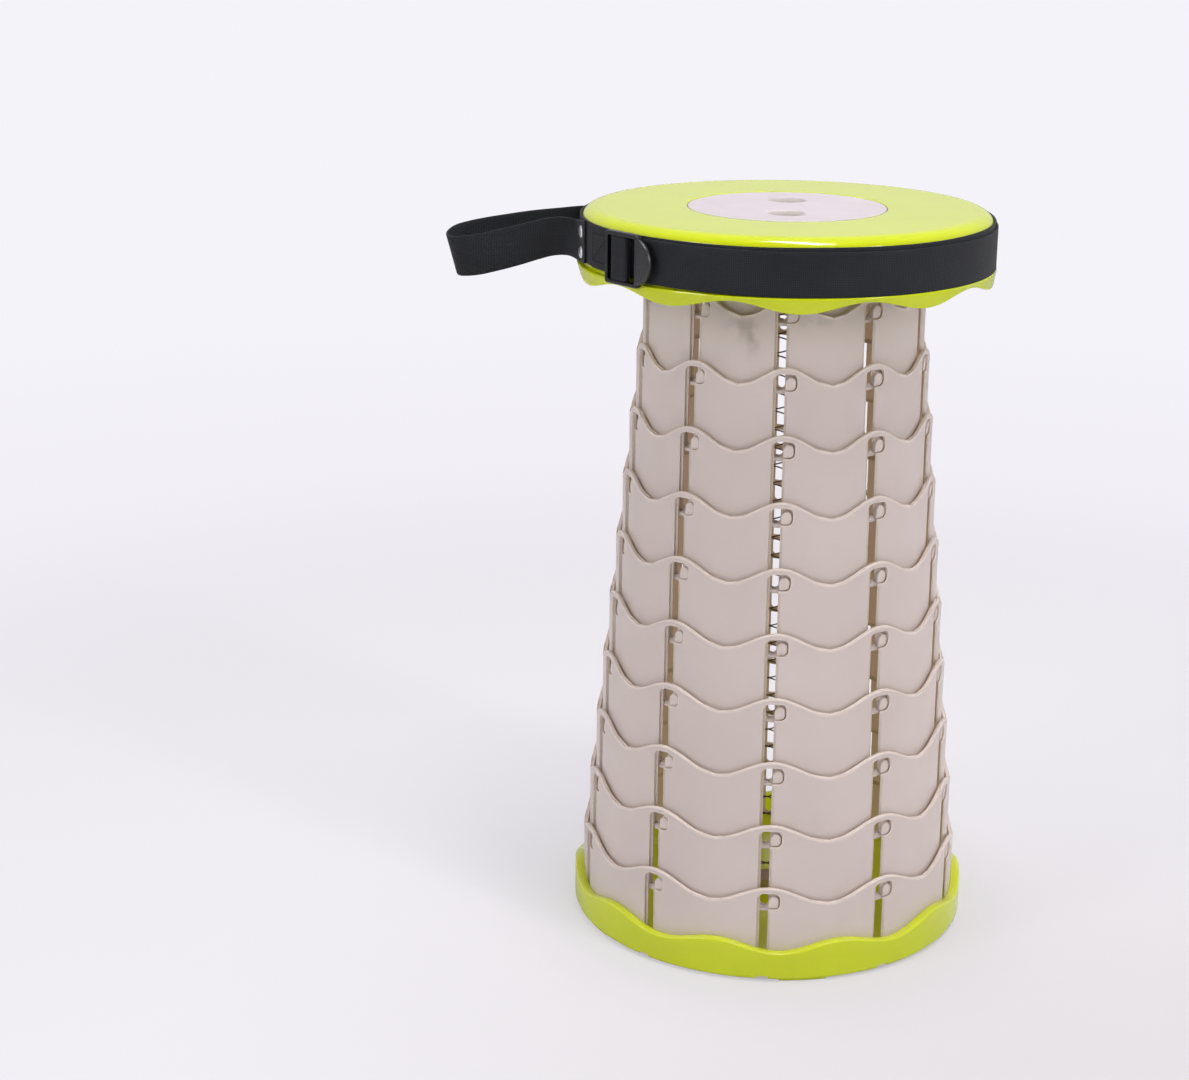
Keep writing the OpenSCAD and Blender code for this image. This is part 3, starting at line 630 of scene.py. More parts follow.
# %% Whole rings
def ring_shell(radius, foot, crest, wave=RING_WAVE, pocket=True, head=SLOT_HEAD, band=BAND_OUT):
    """Outer face: radius + bead - ledge - lip - rounded edges. Inner face: radius - wall + rounded
    edges. The edges between them are one grid wide, and a band runs round the foot."""
    fill = ring_tenth(radius, foot, crest, wave, pocket, head)
    outer, from_hole, from_top = fill(NEAR_ROWS, 4)
    inner, inner_hole, inner_top = fill(INNER_ROWS, 2)
    ledge, lip = slot_ledges(outer[..., 0], outer[..., 1], from_hole, crest, head, pocket)
    bead = BEAD_OUT * (1 - soft_step(from_top, 1.1, 1.7)) if wave else 0
    edge_drop = rounded(from_hole, HOLE_ROUND) * (1 - 0.6 * ledge) + rounded(from_top, TOP_ROUND)
    outer_r = radius + (bead - LEDGE_DEEP * ledge - LIP_DEEP * lip - edge_drop)
    track = track_share(inner[..., 0], inner[..., 1], crest) * pocket
    depth = RING_WALL - (RING_WALL - TRACK_SKIN) * track
    inner_r = radius - depth + rounded(inner_hole, 0.3) * (1 - track) + rounded(inner_top, 0.5)
    # Ledge and lip are set back, and the material paints shade on them.
    recess = np.maximum(ledge, 0.9 * lip)
    # Slot edges, top edges and the edge walls are painted paler: rubbed wear and a painted highlight.
    rubbed_hole = 0.6 * (1 - soft_step(from_hole, 0.2, 0.9)) * (1 - recess)
    rubbed = np.maximum(1 - soft_step(from_top, 0.3, 1.5), rubbed_hole)
    line, wall = outer[-1][FOOT_RUN], -depth[-1][FOOT_RUN]
    foot_profile = [(band, BAND_H - BAND_OUT), (band, 0.4), (band - 0.4, 0), (wall + 0.25, 0), (wall, 0.25)]
    shell = Shell()
    for share in range(SHARES):
        def place(along, up, r):
            return around(SLOT_AZ + share * SECTOR + np.degrees(along / radius), r, up)

        front, back = place(*np.moveaxis(outer, -1, 0), outer_r), place(*np.moveaxis(inner, -1, 0), inner_r)
        shell.add_grid(front, wrap=True, rubbed=rubbed, scuff=scuffed(front), recess=recess)
        # The inner face gets a painted glow.
        shell.add_grid(back, wrap=True, inside=np.ones(inner_r.shape))
        for row, run in ((0, None), (-1, CREST_RUN)):
            shell.add_grid(np.stack([front[row], back[row]]), wrap=True, keep=run,
                rubbed=np.outer([1, 0.7], rubbed[row]), inside=np.outer([0, 0.8], np.ones(COLUMNS)))
        bands = [place(line[:, 0], foot + z, radius + r) for r, z in foot_profile]
        shell.add_grid(np.stack([front[-1][FOOT_RUN], *bands, back[-1][FOOT_RUN]]))
    return shell


def peg_outline():
    """Flat on the slot's side with its upper corner cut off, and round on the other."""
    half_w, half_h, nose, corner = PEG_W / 2, PEG_H / 2, PEG_W / 2 - 0.1, PEG_W / 3
    return np.concatenate([
        [[-half_w, -half_h + 0.3], [-half_w + 0.3, -half_h]],
        arc(half_w - nose, -half_h + nose, nose, -90, 0, 10), arc(half_w - nose, half_h - nose, nose, 0, 90, 10),
        [[-half_w + corner, half_h], [-half_w, half_h - corner]]])


def add_pegs(shell, k):
    """Ten lugs whose outline grows from the wall and is rounded over at its face."""
    outer = ring_radius(k + 1)
    middle_z = ring_foot(k + 1) + RING_H - PEG_DROP
    along, up = peg_outline().T
    rows = [(-0.6, 0.0), (PEG_OUT - 0.45, 0.0), (PEG_OUT - 0.15, 0.12), (PEG_OUT, 0.4)]
    for share in range(SHARES):
        azimuth = SLOT_AZ + share * SECTOR + math.degrees(POCKET_OFF / outer)
        loops = []
        for out, shrink in rows:
            size = 1 - shrink * 2 / PEG_H
            turned = azimuth + np.degrees(along * size / outer)
            loops.append(around(turned, ring_radius(k) + out, middle_z + up * size))
        # The pegs' faces are painted paler: rubbed wear and a painted highlight.
        shell.add_bar(loops, rubbed=np.outer([0, 0, 0.35, 0.35], np.ones(len(up))))


TAB_W, TAB_IN, TAB_OUT, TAB_LOW, TAB_HIGH = 6.8, 117.45, 124.4, 1.7, 3.4


def add_tab(shell, azimuth):
    """A clip tab of the fixed ring: a block through the tray's floor and out into its notch."""
    outward, sideways = rim_axes(azimuth)
    corners = np.stack([outward * r + sideways * s * TAB_W / 2
        for r, s in ((TAB_IN, -1), (TAB_IN, 1), (TAB_OUT, 1), (TAB_OUT, -1))])
    shell.add_bar([corners + z * UP for z in (TAB_LOW, TAB_HIGH)])


for k in range(RING_COUNT, 0, -1):
    fixed = k == RING_COUNT
    shell = ring_shell(ring_radius(k), ring_foot(k), ring_foot(k) + RING_H, band=0.0 if fixed else BAND_OUT)
    if fixed:
        for share in range(SHARES):
            add_tab(shell, SLOT_AZ + share * SECTOR)
    else:
        add_pegs(shell, k)
    write_piece(f"ring_{k}", shell, "beige_plastic", "base" if fixed else f"ring_{k}_body", sharp=50)

# %% [markdown]
# ## The collar
# The innermost sleeve is the same wall with straight slots and no wave, because its top is
# covered by the seat. It has a flange inside, which is screwed to the seat's posts, and its pegs
# hang in the widest pockets of the narrowest ring.

# %% Collar
COLLAR_R, COLLAR_HEAD = ring_radius(0), 7.7
FLANGE_R, FLANGE_Z, FLANGE_T, FLANGE_SOFT = 67.5, 436.2, 2.6, 0.4

collar = ring_shell(COLLAR_R, ring_foot(0), PLATE_Z - 0.05, wave=0, pocket=False, head=COLLAR_HEAD)
add_pegs(collar, 0)
flange_top, flange_root = FLANGE_Z + FLANGE_T, COLLAR_R - 1.2
collar.add_turned([
    (flange_root, FLANGE_Z), (FLANGE_R + FLANGE_SOFT, FLANGE_Z), (FLANGE_R, FLANGE_Z + FLANGE_SOFT),
    (FLANGE_R, flange_top - FLANGE_SOFT), (FLANGE_R + FLANGE_SOFT, flange_top),
    (flange_root, flange_top), (flange_root, FLANGE_Z)], steps=180)
write_piece("seat_collar", collar, "beige_plastic", sharp=50)

# %% [markdown]
# ## The base tray
# The tray is turned: one profile, spun about the axis. Two things change with the azimuth. The
# top of its hoop is a cosine wave with ten crests, and ten notches under the floor let the fixed
# ring's clip tabs in. Both are written as a height for each column of the grid.

# %% Base tray with its wave, notches, feet and plug seat
HOOP_R, HOOP_IN, HOOP_LOW, HOOP_WAVE, WAVE_AZ = 125.0, 119.55, 18.6, 6.6, 4.2
HOOP_ROUND, FOOT_ROUND = 0.9, 1.5
FLOOR_Z, FLOOR_TOP, WINDOW_IN = 1.5, 3.6, 117.15
PLUG_SEAT, MIDDLE_FOOT_R = 10.0, 22.0
FOOT_IN, FOOT_OUT, FOOT_H, FOOT_SOFT = 117.95, 123.4, 2.6, 0.5
FOOT_COUNT, FOOT_AZ, FOOT_ARC = 5, 11.3, 13.5
QUARTER = np.radians([30, 60, 90])


def wave_rise(azimuth, height):
    """0 at WAVE_AZ and the wave's height half a tenth further on, ten times round."""
    return height * (1 - np.cos(np.radians(SHARES * (azimuth - WAVE_AZ)))) / 2


def notch_columns():
    """Azimuths round the circle, doubled at each notch edge, and whether each is in a notch."""
    step, half = 0.75, math.degrees((TAB_W / 2 + 0.2) / HOOP_R)
    azimuths, inside = [], []
    for share in range(SHARES):
        middle = SLOT_AZ + share * SECTOR
        between = np.arange(middle + half + step, middle + SECTOR - half - step / 2, step)
        azimuths += [middle - half, middle - half, middle, middle + half, middle + half, *between]
        inside += [0, 1, 1, 1, 0] + [0] * len(between)
    return np.array(azimuths), np.array(inside, bool)


azimuths, in_notch = notch_columns()
top = HOOP_LOW + wave_rise(azimuths, HOOP_WAVE)
under = np.where(in_notch, FLOOR_TOP - 0.05, FLOOR_Z)
rows = [(r, FLOOR_Z) for r in (0, 60, 110, WINDOW_IN)] + [(WINDOW_IN, under), (HOOP_R - FOOT_ROUND, under)]
rows += [(HOOP_R - FOOT_ROUND * (1 - math.sin(a)), np.maximum(under, FLOOR_Z + FOOT_ROUND * (1 - math.cos(a))))
    for a in QUARTER]
rows += [(HOOP_R, FLOOR_TOP + (top - HOOP_ROUND - FLOOR_TOP) * t) for t in np.linspace(0.05, 1, 7)]
rows += [(HOOP_R - HOOP_ROUND * (1 - math.cos(a)), top - HOOP_ROUND * (1 - math.sin(a))) for a in QUARTER]
rows += [(HOOP_IN + 0.5, top), (HOOP_IN + 0.15, top - 0.15), (HOOP_IN, top - 0.5), (HOOP_IN, FLOOR_TOP + 0.3),
    (HOOP_IN - 0.3, FLOOR_TOP), (60, FLOOR_TOP), (0, FLOOR_TOP)]
# Rows at the hoop's top are painted paler, for rubbed wear and a painted highlight.
rubbed_rows, painted_glow_rows = np.zeros(len(rows)), np.zeros(len(rows))
rubbed_rows[16:21] = 1.0
# A painted glow on the hoop's inner face and on the tray's floor, for light through the plastic.
painted_glow_rows[20:23], painted_glow_rows[23:] = 1.5, 0.6
base = Shell()
base.add_grid(spun(azimuths, rows), wrap=True,
    rubbed=np.repeat(rubbed_rows, len(azimuths)), inside=np.repeat(painted_glow_rows, len(azimuths)))
base.add_turned([(0, 1.7), (PLUG_SEAT, 1.7), (PLUG_SEAT, 7.7), (PLUG_SEAT - 0.3, 8), (0, 8)])
base.add_turned([(0, 0), (MIDDLE_FOOT_R - 0.8, 0), (MIDDLE_FOOT_R - 0.2, 0.25), (MIDDLE_FOOT_R, 0.8),
    (MIDDLE_FOOT_R, 2.4), (0, 2.4)], steps=120)
section_r, section_z = np.array([
    (FOOT_IN + FOOT_SOFT, 0), (FOOT_OUT - FOOT_SOFT, 0), (FOOT_OUT, FOOT_SOFT), (FOOT_OUT, FOOT_H), (FOOT_IN, FOOT_H),
    (FOOT_IN, FOOT_SOFT)]).T
for foot in range(FOOT_COUNT):
    sweep = FOOT_AZ + 360 / FOOT_COUNT * foot + np.linspace(-FOOT_ARC / 2, FOOT_ARC / 2, 12)
    base.add_bar(around(sweep[:, None], section_r, section_z))
write_piece("base_cup", base, "lime_plastic", "base", sharp=45)

# %% [markdown]
# ## The seat
# The seat is turned as well. From the middle of its section outwards: the edge of the recess, the
# flat top, a roll that is a quarter of an ellipse, the wall behind the strap, a shelf, and the
# skirt with its wave. The section then comes back inside, so that the surface is closed.

# %% Seat cover
SEAT_R, ROLL_W, ROLL_H, SEAT_WALL = 123.2, 9.2, 7.0, 2.9
SKIRT_R, SKIRT_LOW_R, SKIRT_T, SKIRT_LOW, SKIRT_WAVE, GROOVE_Z = 126.3, 125.3, 2.6, 409.9, 6.2, 419.2
RECESS_R, RECESS_Z, RECESS_LOW, WELL_T = 60.1, 446.6, 444.4, 2.2
POST_R, POST_W, POST_LOW, POST_COUNT = 73.5, 4.6, 438.8, 5

azimuths = np.arange(0, 360, 1.0)
low = SKIRT_LOW + wave_rise(azimuths, SKIRT_WAVE)
skirt_top, skirt_in, wall_in = GROOVE_Z - 0.8, SKIRT_LOW_R - SKIRT_T, SEAT_R - SEAT_WALL
rows = [(RECESS_R, SEAT_H - 0.6), (RECESS_R + 0.18, SEAT_H - 0.18), (RECESS_R + 0.6, SEAT_H)]
rows += [(r, SEAT_H) for r in (64, 72, 84, 96, 106, 111)]
rows += [(SEAT_R - ROLL_W + ROLL_W * math.cos(a), SEAT_H - ROLL_H + ROLL_H * math.sin(a))
    for a in np.radians(np.linspace(90, 0, 15))]
rows += [(SEAT_R, z) for z in (440, 432, 424, GROOVE_Z + 0.8)]
rows += [(SEAT_R + 0.25, GROOVE_Z + 0.25), (SEAT_R + 0.8, GROOVE_Z), (SKIRT_R - 0.9, GROOVE_Z),
    (SKIRT_R - 0.3, GROOVE_Z - 0.2), (SKIRT_R, skirt_top)]
rows += [(SKIRT_R + (SKIRT_LOW_R - SKIRT_R) * t, skirt_top + (low + 0.4 - skirt_top) * t)
    for t in np.linspace(0.15, 1, 7)]
rows += [(SKIRT_LOW_R - 0.12, low + 0.12), (SKIRT_LOW_R - 0.4, low), (skirt_in + 0.6, low),
    (skirt_in + 0.15, low + 0.2), (skirt_in, low + 0.6)]
rows += [(SKIRT_R - SKIRT_T, np.maximum(GROOVE_Z - SKIRT_T, low + 0.8)), (wall_in, GROOVE_Z + 0.4),
    (wall_in, 434), (wall_in, PLATE_Z - 0.5), (wall_in - 0.5, PLATE_Z), (90, PLATE_Z),
    (RECESS_R + WELL_T, PLATE_Z), (RECESS_R + WELL_T, RECESS_LOW - 1.6), (RECESS_R - 3, RECESS_LOW - 1.6),
    (RECESS_R - 3, RECESS_LOW), (RECESS_R, RECESS_LOW), rows[0]]
seat = Shell()
seat.add_grid(spun(azimuths, rows), wrap=True)
for post in range(POST_COUNT):
    seat.add_turned([(0, POST_LOW), (POST_W - 0.3, POST_LOW), (POST_W, POST_LOW + 0.3), (POST_W, 450), (0, 450)],
        centre=around(360 / POST_COUNT * post, POST_R, 0), steps=32)
write_piece("seat_cover", seat, "lime_plastic")

# %% [markdown]
# ## Insert and finger wells
# Both are discs with two holes. A disc with two holes is cut into halves with one hole each. In
# each half the rows run from the hole to a D-shaped line, and the halves share its straight side.

# %% Disc with two holes
INSERT_R, FINGER_PITCH, HOLE_R, HOLE_BEVEL = 59.7, 54.0, 11.25, 1.2
DISC_ROWS = np.array([0, 0.1, 0.3, 0.6, 1.0, 1.5])
ARC_COUNT, LINE_COUNT = 72, 28


def holed_disc(shell, rim, hole, low, high, rim_round, hole_round):
    """Height is the top, less what the rounded rim and the rounded hole take off near them."""
    around_rim = np.radians(np.linspace(0, 180, ARC_COUNT + 1))[:-1]
    outer = np.concatenate([
        np.stack([rim * np.cos(around_rim), rim * np.sin(around_rim)], axis=1),
        np.stack([np.linspace(-rim, rim, LINE_COUNT + 1)[:-1], np.zeros(LINE_COUNT)], axis=1)])
    around_hole = np.radians(np.concatenate([
        np.linspace(-35, 215, ARC_COUNT + 1)[:-1], np.linspace(215, 325, LINE_COUNT + 1)[:-1]]))
    centre = np.array([0, FINGER_PITCH / 2])
    inner = centre + hole * np.stack([np.cos(around_hole), np.sin(around_hole)], axis=1)
    plan = inner + (outer - inner) * row_shares(np.linalg.norm(outer - inner, axis=1), DISC_ROWS, 6)[..., None]
    drop = rounded(rim - np.linalg.norm(plan, axis=-1), rim_round)
    drop = drop + rounded(np.linalg.norm(plan - centre, axis=-1) - hole, hole_round)
    # The hole's wall gets a painted glow.
    at_hole = np.zeros(drop.shape)
    at_hole[0] = 1
    for side in (-1, 1):
        top, under = (np.dstack([plan * [1, side], height]) for height in (high - drop, np.full(drop.shape, low)))
        shell.add_grid(top, wrap=True, inside=at_hole)
        shell.add_grid(under, wrap=True)
        shell.add_grid(np.stack([top[0], under[0]]), wrap=True, inside=at_hole[[0, -1]])
        shell.add_grid(np.stack([top[-1], under[-1]]), keep=np.arange(ARC_COUNT))


insert = Shell()
holed_disc(insert, INSERT_R, HOLE_R, RECESS_Z, SEAT_H - 0.05, 0.5, HOLE_BEVEL)
write_piece("grip_insert", insert, "pale_plastic")

# %% Tray with two finger wells
WELL_R, WELL_DEEP = 15.0, 17.0
tray = Shell()
holed_disc(tray, RECESS_R - 0.2, WELL_R, RECESS_LOW, RECESS_Z - 0.02, 0.3, 0.4)
bowl = np.radians(np.linspace(0, 90, 13))
well_out, bowl_z = WELL_R + WELL_T, RECESS_Z - (WELL_DEEP - WELL_R)
inside = [(WELL_R * math.cos(a), bowl_z - WELL_R * math.sin(a)) for a in bowl]
outside = [(0, bowl_z - well_out)] + [(well_out * math.cos(a), bowl_z - well_out * math.sin(a)) for a in bowl[-2::-1]]
well_top = [(well_out, RECESS_Z - 0.5), (WELL_R, RECESS_Z - 0.5)]
for side in (-1, 1):
    for profile in ([*outside, *well_top], [well_top[1], *inside]):
        tray.add_turned(profile, centre=(0, side * FINGER_PITCH / 2, 0))
write_piece("finger_tray", tray, "lime_plastic")

# %% [markdown]
# ## The spring
# A long thin spring keeps the column open. The centre line is a helix, and each point of the tube
# is the centre line plus the wire's radius times a turning direction across it.

# %% Spring wire
COIL_R, WIRE_R, TURNS = 6.5, 0.45, 36
SPRING_LOW, SPRING_HIGH, LEAD, STRAIGHT = 13.0, 439.4, 2.4, 1.2
WIRE_SIDES, STEPS_PER_TURN = 8, 26

turn = np.linspace(0, 2 * math.pi * TURNS, TURNS * STEPS_PER_TURN + 1)
climb = SPRING_HIGH - SPRING_LOW - 2 * LEAD
helix = np.stack([COIL_R * np.cos(turn), COIL_R * np.sin(turn), SPRING_LOW + LEAD + climb * turn / turn[-1]], axis=1)
start, end = ([[COIL_R, 0, low], [COIL_R, 0, low + STRAIGHT]] for low in (SPRING_LOW, SPRING_HIGH - STRAIGHT))
path = np.concatenate([start, helix, end])
heading = unit(np.gradient(path, axis=0))
outward = path * [1, 1, 0] + [1e-6, 0, 0]
outward = unit(outward - heading * (outward * heading).sum(axis=1, keepdims=True))
across = circle(WIRE_SIDES, outward[:, None], np.cross(heading, outward)[:, None])
wire = Shell()
wire.add_bar(path[:, None] + WIRE_R * across)
spring = write_piece("spring", wire, "spring_wire", "base", sharp=60)
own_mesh(spring)

# %% [markdown]
# ## The strap
# Four pieces are webbing 25.4 mm wide: a belt round the rim, a tail that leaves the buckle and
# runs on top of the belt to the back, the wrap round the buckle's bar, and the hand loop. Each is
# the same strip: a route, a direction across the cloth and a direction along its width.

# %% Strip of webbing, and the belt
WEB_W, WEB_T = 25.4, 1.2
BELT_MID_R, BELT_MID_Z, TAIL_MID_R = 124.0, 434.4, 125.35
BUCKLE_AZ, FOLD_FROM, FOLD_TO = -45.9, -63.9, -53.6
FLAT = np.linspace(-0.97, 0.97, 13)
STRIP_SHARE = np.concatenate([FLAT, [0.992, 1.0, 0.992], -FLAT, [-0.992, -1.0, -0.992]])
STRIP_DEPTH = np.concatenate([np.full(13, 0.5), [0.36, 0, -0.36], np.full(13, -0.5), [-0.36, 0, 0.36]])


def strip(shell, route, across, up, first=0.0, closed=False):
    """Point = route + up * v + across * b, round a flat section with rounded selvages."""
    v, b = WEB_W / 2 * STRIP_SHARE, WEB_T * STRIP_DEPTH
    loops = route[:, None] + up[:, None] * v[:, None] + across[:, None] * b[:, None]
    length = first + along_line(route)
    strap = np.stack(np.broadcast_arrays(length[:, None], v, 0.0), axis=-1)
    if closed:
        shell.add_grid(loops, wrap=True, strap=strap)
    else:
        shell.add_bar(loops, strap=strap)


def leaning(outward, lean):
    """Directions across a strip and up along its width; lean tips the upper edge outwards."""
    lean = np.broadcast_to(lean, len(outward))[:, None]
    return outward * np.cos(lean) - UP * np.sin(lean), UP * np.cos(lean) + outward * np.sin(lean)


def rim_strip(shell, azimuth, radius, height, first=0.0, closed=False, lean=0.0):
    """A strip that stands on its edge round the rim."""
    strip(shell, around(azimuth, radius, height), *leaning(around(azimuth, 1.0, 0.0), lean), first, closed)


azimuths = np.linspace(BUCKLE_AZ, BUCKLE_AZ + 360, 361)
belt = Shell()
belt_z = BELT_MID_Z + 0.25 * (1 - np.cos(np.radians(azimuths))) + 0.12 * np.sin(np.radians(7 * azimuths))
rim_strip(belt, azimuths, BELT_MID_R, belt_z, closed=True)
fold = np.linspace(FOLD_FROM, FOLD_TO, 14)
rim_strip(belt, fold, BELT_MID_R + WEB_T + 0.02, np.interp(fold, azimuths, belt_z) + 0.1, first=FOLD_FROM)
write_piece("strap_belt", belt, "webbing", sharp=60)

# %% [markdown]
# ### Routes that bend softly
# The tail and the loop are cloth, so their height and lean change slowly along them. A few values
# along the route are joined by a smooth curve: between two values it follows a cubic whose slopes
# come from the neighbours on each side.

# %% Smooth values along a route, and the tail
BUCKLE_W, BUCKLE_T, BAR_R, BUCKLE_Z = 28.6, 4.0, 126.5, 433.0
WRAP_MID, WRAP_BAR_W, WRAP_BAR_T = -2.2, 11.4, 1.4
TAIL_FROM, TAIL_TO, TAIL_LOOSE, TAIL_STAND = -41.4, 190, 14, 3.6


def smooth_through(places, values, where):
    """Cubic through the values; the slope at each one is the slope between its neighbours."""
    places, values = np.asarray(places, float), np.asarray(values, float)
    slope = np.gradient(values, places)
    i = np.clip(np.searchsorted(places, where) - 1, 0, len(places) - 2)
    span = places[i + 1] - places[i]
    t = (where - places[i]) / span
    first = (2 * t ** 3 - 3 * t ** 2 + 1) * values[i] + (t ** 3 - 2 * t ** 2 + t) * span * slope[i]
    return first + (3 * t ** 2 - 2 * t ** 3) * values[i + 1] + (t ** 3 - t ** 2) * span * slope[i + 1]


def at_buckle(along, out, height):
    """Buckle coordinates to a point: along the rim, out from the axis, and up."""
    outward, sideways = rim_axes(BUCKLE_AZ)
    along, out, height = (v[..., None] for v in np.broadcast_arrays(along, out, height))
    return out * outward + along * sideways + height * UP


azimuths = np.linspace(TAIL_FROM, TAIL_TO, 240)
tail_z = smooth_through(
    [-50, -36, -15, 10, 45, 80, 130, 190], [433.4, 433.2, 432.5, 432.0, 431.7, 431.5, 431.8, 432.1], azimuths)
tail_z += 0.08 * np.sin(np.radians(9 * azimuths))
stand = TAIL_STAND * np.clip((azimuths - TAIL_TO + TAIL_LOOSE) / TAIL_LOOSE, 0, 1) ** 2
tail = Shell()
rim_strip(tail, azimuths, TAIL_MID_R + stand, tail_z, lean=0.02 * stand)

bend = np.radians(np.linspace(-90, 90, 9))
cap_r, straight = (WRAP_BAR_T + WEB_T) / 2, WRAP_BAR_W / 2 - 0.4
side_u, side_o = np.linspace(-straight, straight, 9), np.full(9, cap_r)
u = np.concatenate([side_u, straight + cap_r * np.cos(bend), -side_u, -straight - cap_r * np.cos(bend), side_u[:1]])
o = np.concatenate([-side_o, cap_r * np.sin(bend), side_o, -cap_r * np.sin(bend), -side_o[:1]])
route = at_buckle(WRAP_MID + u, BAR_R + BUCKLE_T / 2 + o, BUCKLE_Z)
centre = at_buckle(WRAP_MID + np.clip(u, -straight, straight), BAR_R + BUCKLE_T / 2, BUCKLE_Z)
strip(tail, route, *leaning(unit(route - centre), 0.0), closed=True)
write_piece("strap_tail", tail, "webbing", sharp=60)

# %% [markdown]
# ### The hand loop
# The loop leaves the rim under the front rivets, runs out to the left, folds round and comes back
# to the rear rivets. In plan it's four cubic curves. Its far end hangs 15 mm lower, and its upper
# edge flares outwards where the cloth twists.

# %% Hand loop
RIVET_AZ, REAR_RIVET_AZ, TAB_ARC = -74.0, -106.0, 8.0
LOOP_REACH, LOOP_HALF = 80.0, 16.5


def cubic(a, b, c, d):
    """Points of a Bezier curve, without its last one."""
    t = np.linspace(0, 1, 26)[:-1, None]
    return (1 - t) ** 3 * a + 3 * t * (1 - t) ** 2 * b + 3 * t * t * (1 - t) * c + t ** 3 * d


tabs = [around(np.linspace(az + TAB_ARC / 2, az - TAB_ARC / 2, 8), TAIL_MID_R, 0.0)[:, :2]
    for az in (RIVET_AZ, REAR_RIVET_AZ)]
front, rear = tabs[0][-1], tabs[1][0]
front_pull, rear_pull = (12 * rim_axes(az)[1][:2] for az in (RIVET_AZ - TAB_ARC / 2, REAR_RIVET_AZ + TAB_ARC / 2))
middle_x = -SEAT_R - 0.45 * LOOP_REACH
near_side, far_side = np.array([middle_x, -LOOP_HALF]), np.array([middle_x, LOOP_HALF])
far = np.array([-SEAT_R - LOOP_REACH, -1.0])
plan = np.concatenate([
    tabs[0][:-1],
    cubic(front, front - front_pull, near_side + [18, -1.8], near_side),
    cubic(near_side, near_side + [-24, 2.4], far + [0, -11], far),
    cubic(far, far + [0, 11], far_side + [-24, -2.4], far_side),
    cubic(far_side, far_side + [18, 1.8], rear + rear_pull, rear),
    tabs[1]])
run = along_line(plan)
print(f"hand loop: {run[-1]:.1f} mm in plan")
run /= run[-1]
half_way = len(plan) // 2
front_places = np.interp([121.9, 125.1, 131.0, 139.1, 148.7, 159.2, 173.0, 185.1, 194.6, 200.9],
    -plan[:half_way, 0], run[:half_way])
rear_places = np.interp([200.9, 194.6, 185.1, 173.0, 159.2, 148.7, 139.3, 131.4, 125.6, 122.6],
    -plan[:half_way - 1:-1, 0], run[:half_way - 1:-1])
places = np.concatenate([[0], front_places, [0.5], rear_places, [1]])
height = smooth_through(places, [
    434.4, 432.8, 432.3, 433.6, 433.3, 431.0, 427.8, 424.0, 420.8, 419.1, 418.5, 420.0,
    422.7, 424.6, 426.5, 428.4, 430.5, 431.8, 432.8, 433.6, 433.8, 433.0, 434.4], run)
lean = np.radians(smooth_through(places, [
    0, 3.1, 7.8, 17.5, 17.6, 13.9, 9.8, 2.0, 3.0, 9.0, 15.0, 14.0,
    10.0, 4.0, 1.0, 0, 0, 0, 0, 0, 0, 0, 0], run))
heading = unit(np.gradient(plan, axis=0))
outward = np.column_stack([-heading[:, 1], heading[:, 0], 0 * run])
loop = Shell()
strip(loop, np.column_stack([plan, height]), *leaning(outward, lean))
write_piece("hand_loop", loop, "webbing", sharp=60)

# %% [markdown]
# ### Rivets and stitching
# Four domed rivets hold the loop. A rivet head is turned on its own axis and then set on the rim.
# The doubled end of the belt is sewn with a box and a diagonal: each stitch is a small bead of
# thread, pointed along the seam.

# %% Rivets
RIVET_R, RIVET_DOME, RIVET_MID_Z, RIVET_APART = 3.7, 1.4, 433.3, 12.4


def add_rivet(shell, azimuth, height):
    """Quarter of an ellipse spun about the rivet's axis, with a short shank behind it."""
    outward, sideways = rim_axes(azimuth)
    across = circle(28, sideways, UP)
    profile = [(RIVET_R * math.cos(a), RIVET_DOME * math.sin(a)) for a in np.radians(np.linspace(90, 0, 8))]
    profile += [(RIVET_R - 0.25, -0.12), (1.5, -0.12), (1.5, -4), (0, -4)]
    foot = around(azimuth, TAIL_MID_R + WEB_T / 2, height)
    shell.add_grid(np.stack([foot + outward * out + across * r for r, out in profile]), wrap=True)


rivets = Shell()
for azimuth in (RIVET_AZ, REAR_RIVET_AZ):
    for side in (-0.5, 0.5):
        add_rivet(rivets, azimuth, RIVET_MID_Z + side * RIVET_APART)
write_piece("strap_rivets", rivets, "rivet_steel", sharp=50)

# %% Stitches
STITCH_W, STITCH_PITCH, STITCH_GAP = 0.55, 2.5, 0.5
STITCH_RINGS = ((0, 0.25), (0.15, 0.8), (0.5, 1.0), (0.85, 0.8), (1, 0.25))
SEAM_R = BELT_MID_R + WEB_T * 1.5 + 0.06
BOX_LEFT, BOX_RIGHT, BOX_LOW, BOX_HIGH = -63.0, -54.4, 426.2, 442.6


def add_stitch(shell, start, end, outward):
    """A bead of six sides and five rings, widest in the middle, half sunk in the cloth."""
    section = STITCH_W / 2 * circle(6, np.cross(outward, unit(end - start)), outward)
    shell.add_bar([start + (end - start) * t + size * section for t, size in STITCH_RINGS])


def seam(shell, corners):
    """Stitches along straight runs on the rim; corners are (azimuth, height)."""
    for first, last in zip(corners[:-1], corners[1:]):
        sweep, rise = np.subtract(last, first)
        count = max(1, round(math.hypot(math.radians(sweep) * SEAM_R, rise) / STITCH_PITCH))
        trim = STITCH_GAP / STITCH_PITCH / 2
        for i in range(count):
            a, b = (i + trim) / count, (i + 1 - trim) / count
            ends = [around(first[0] + sweep * t, SEAM_R, first[1] + rise * t) for t in (a, b)]
            add_stitch(shell, *ends, rim_axes(first[0] + sweep * (a + b) / 2)[0])


stitches = Shell()
seam(stitches, [(BOX_LEFT, BOX_LOW), (BOX_LEFT, BOX_HIGH), (BOX_RIGHT, BOX_HIGH), (BOX_RIGHT, BOX_LOW),
    (BOX_LEFT, BOX_LOW), (BOX_RIGHT, BOX_HIGH)])
write_piece("box_stitch", stitches, "webbing", sharp=80, material=THREAD)

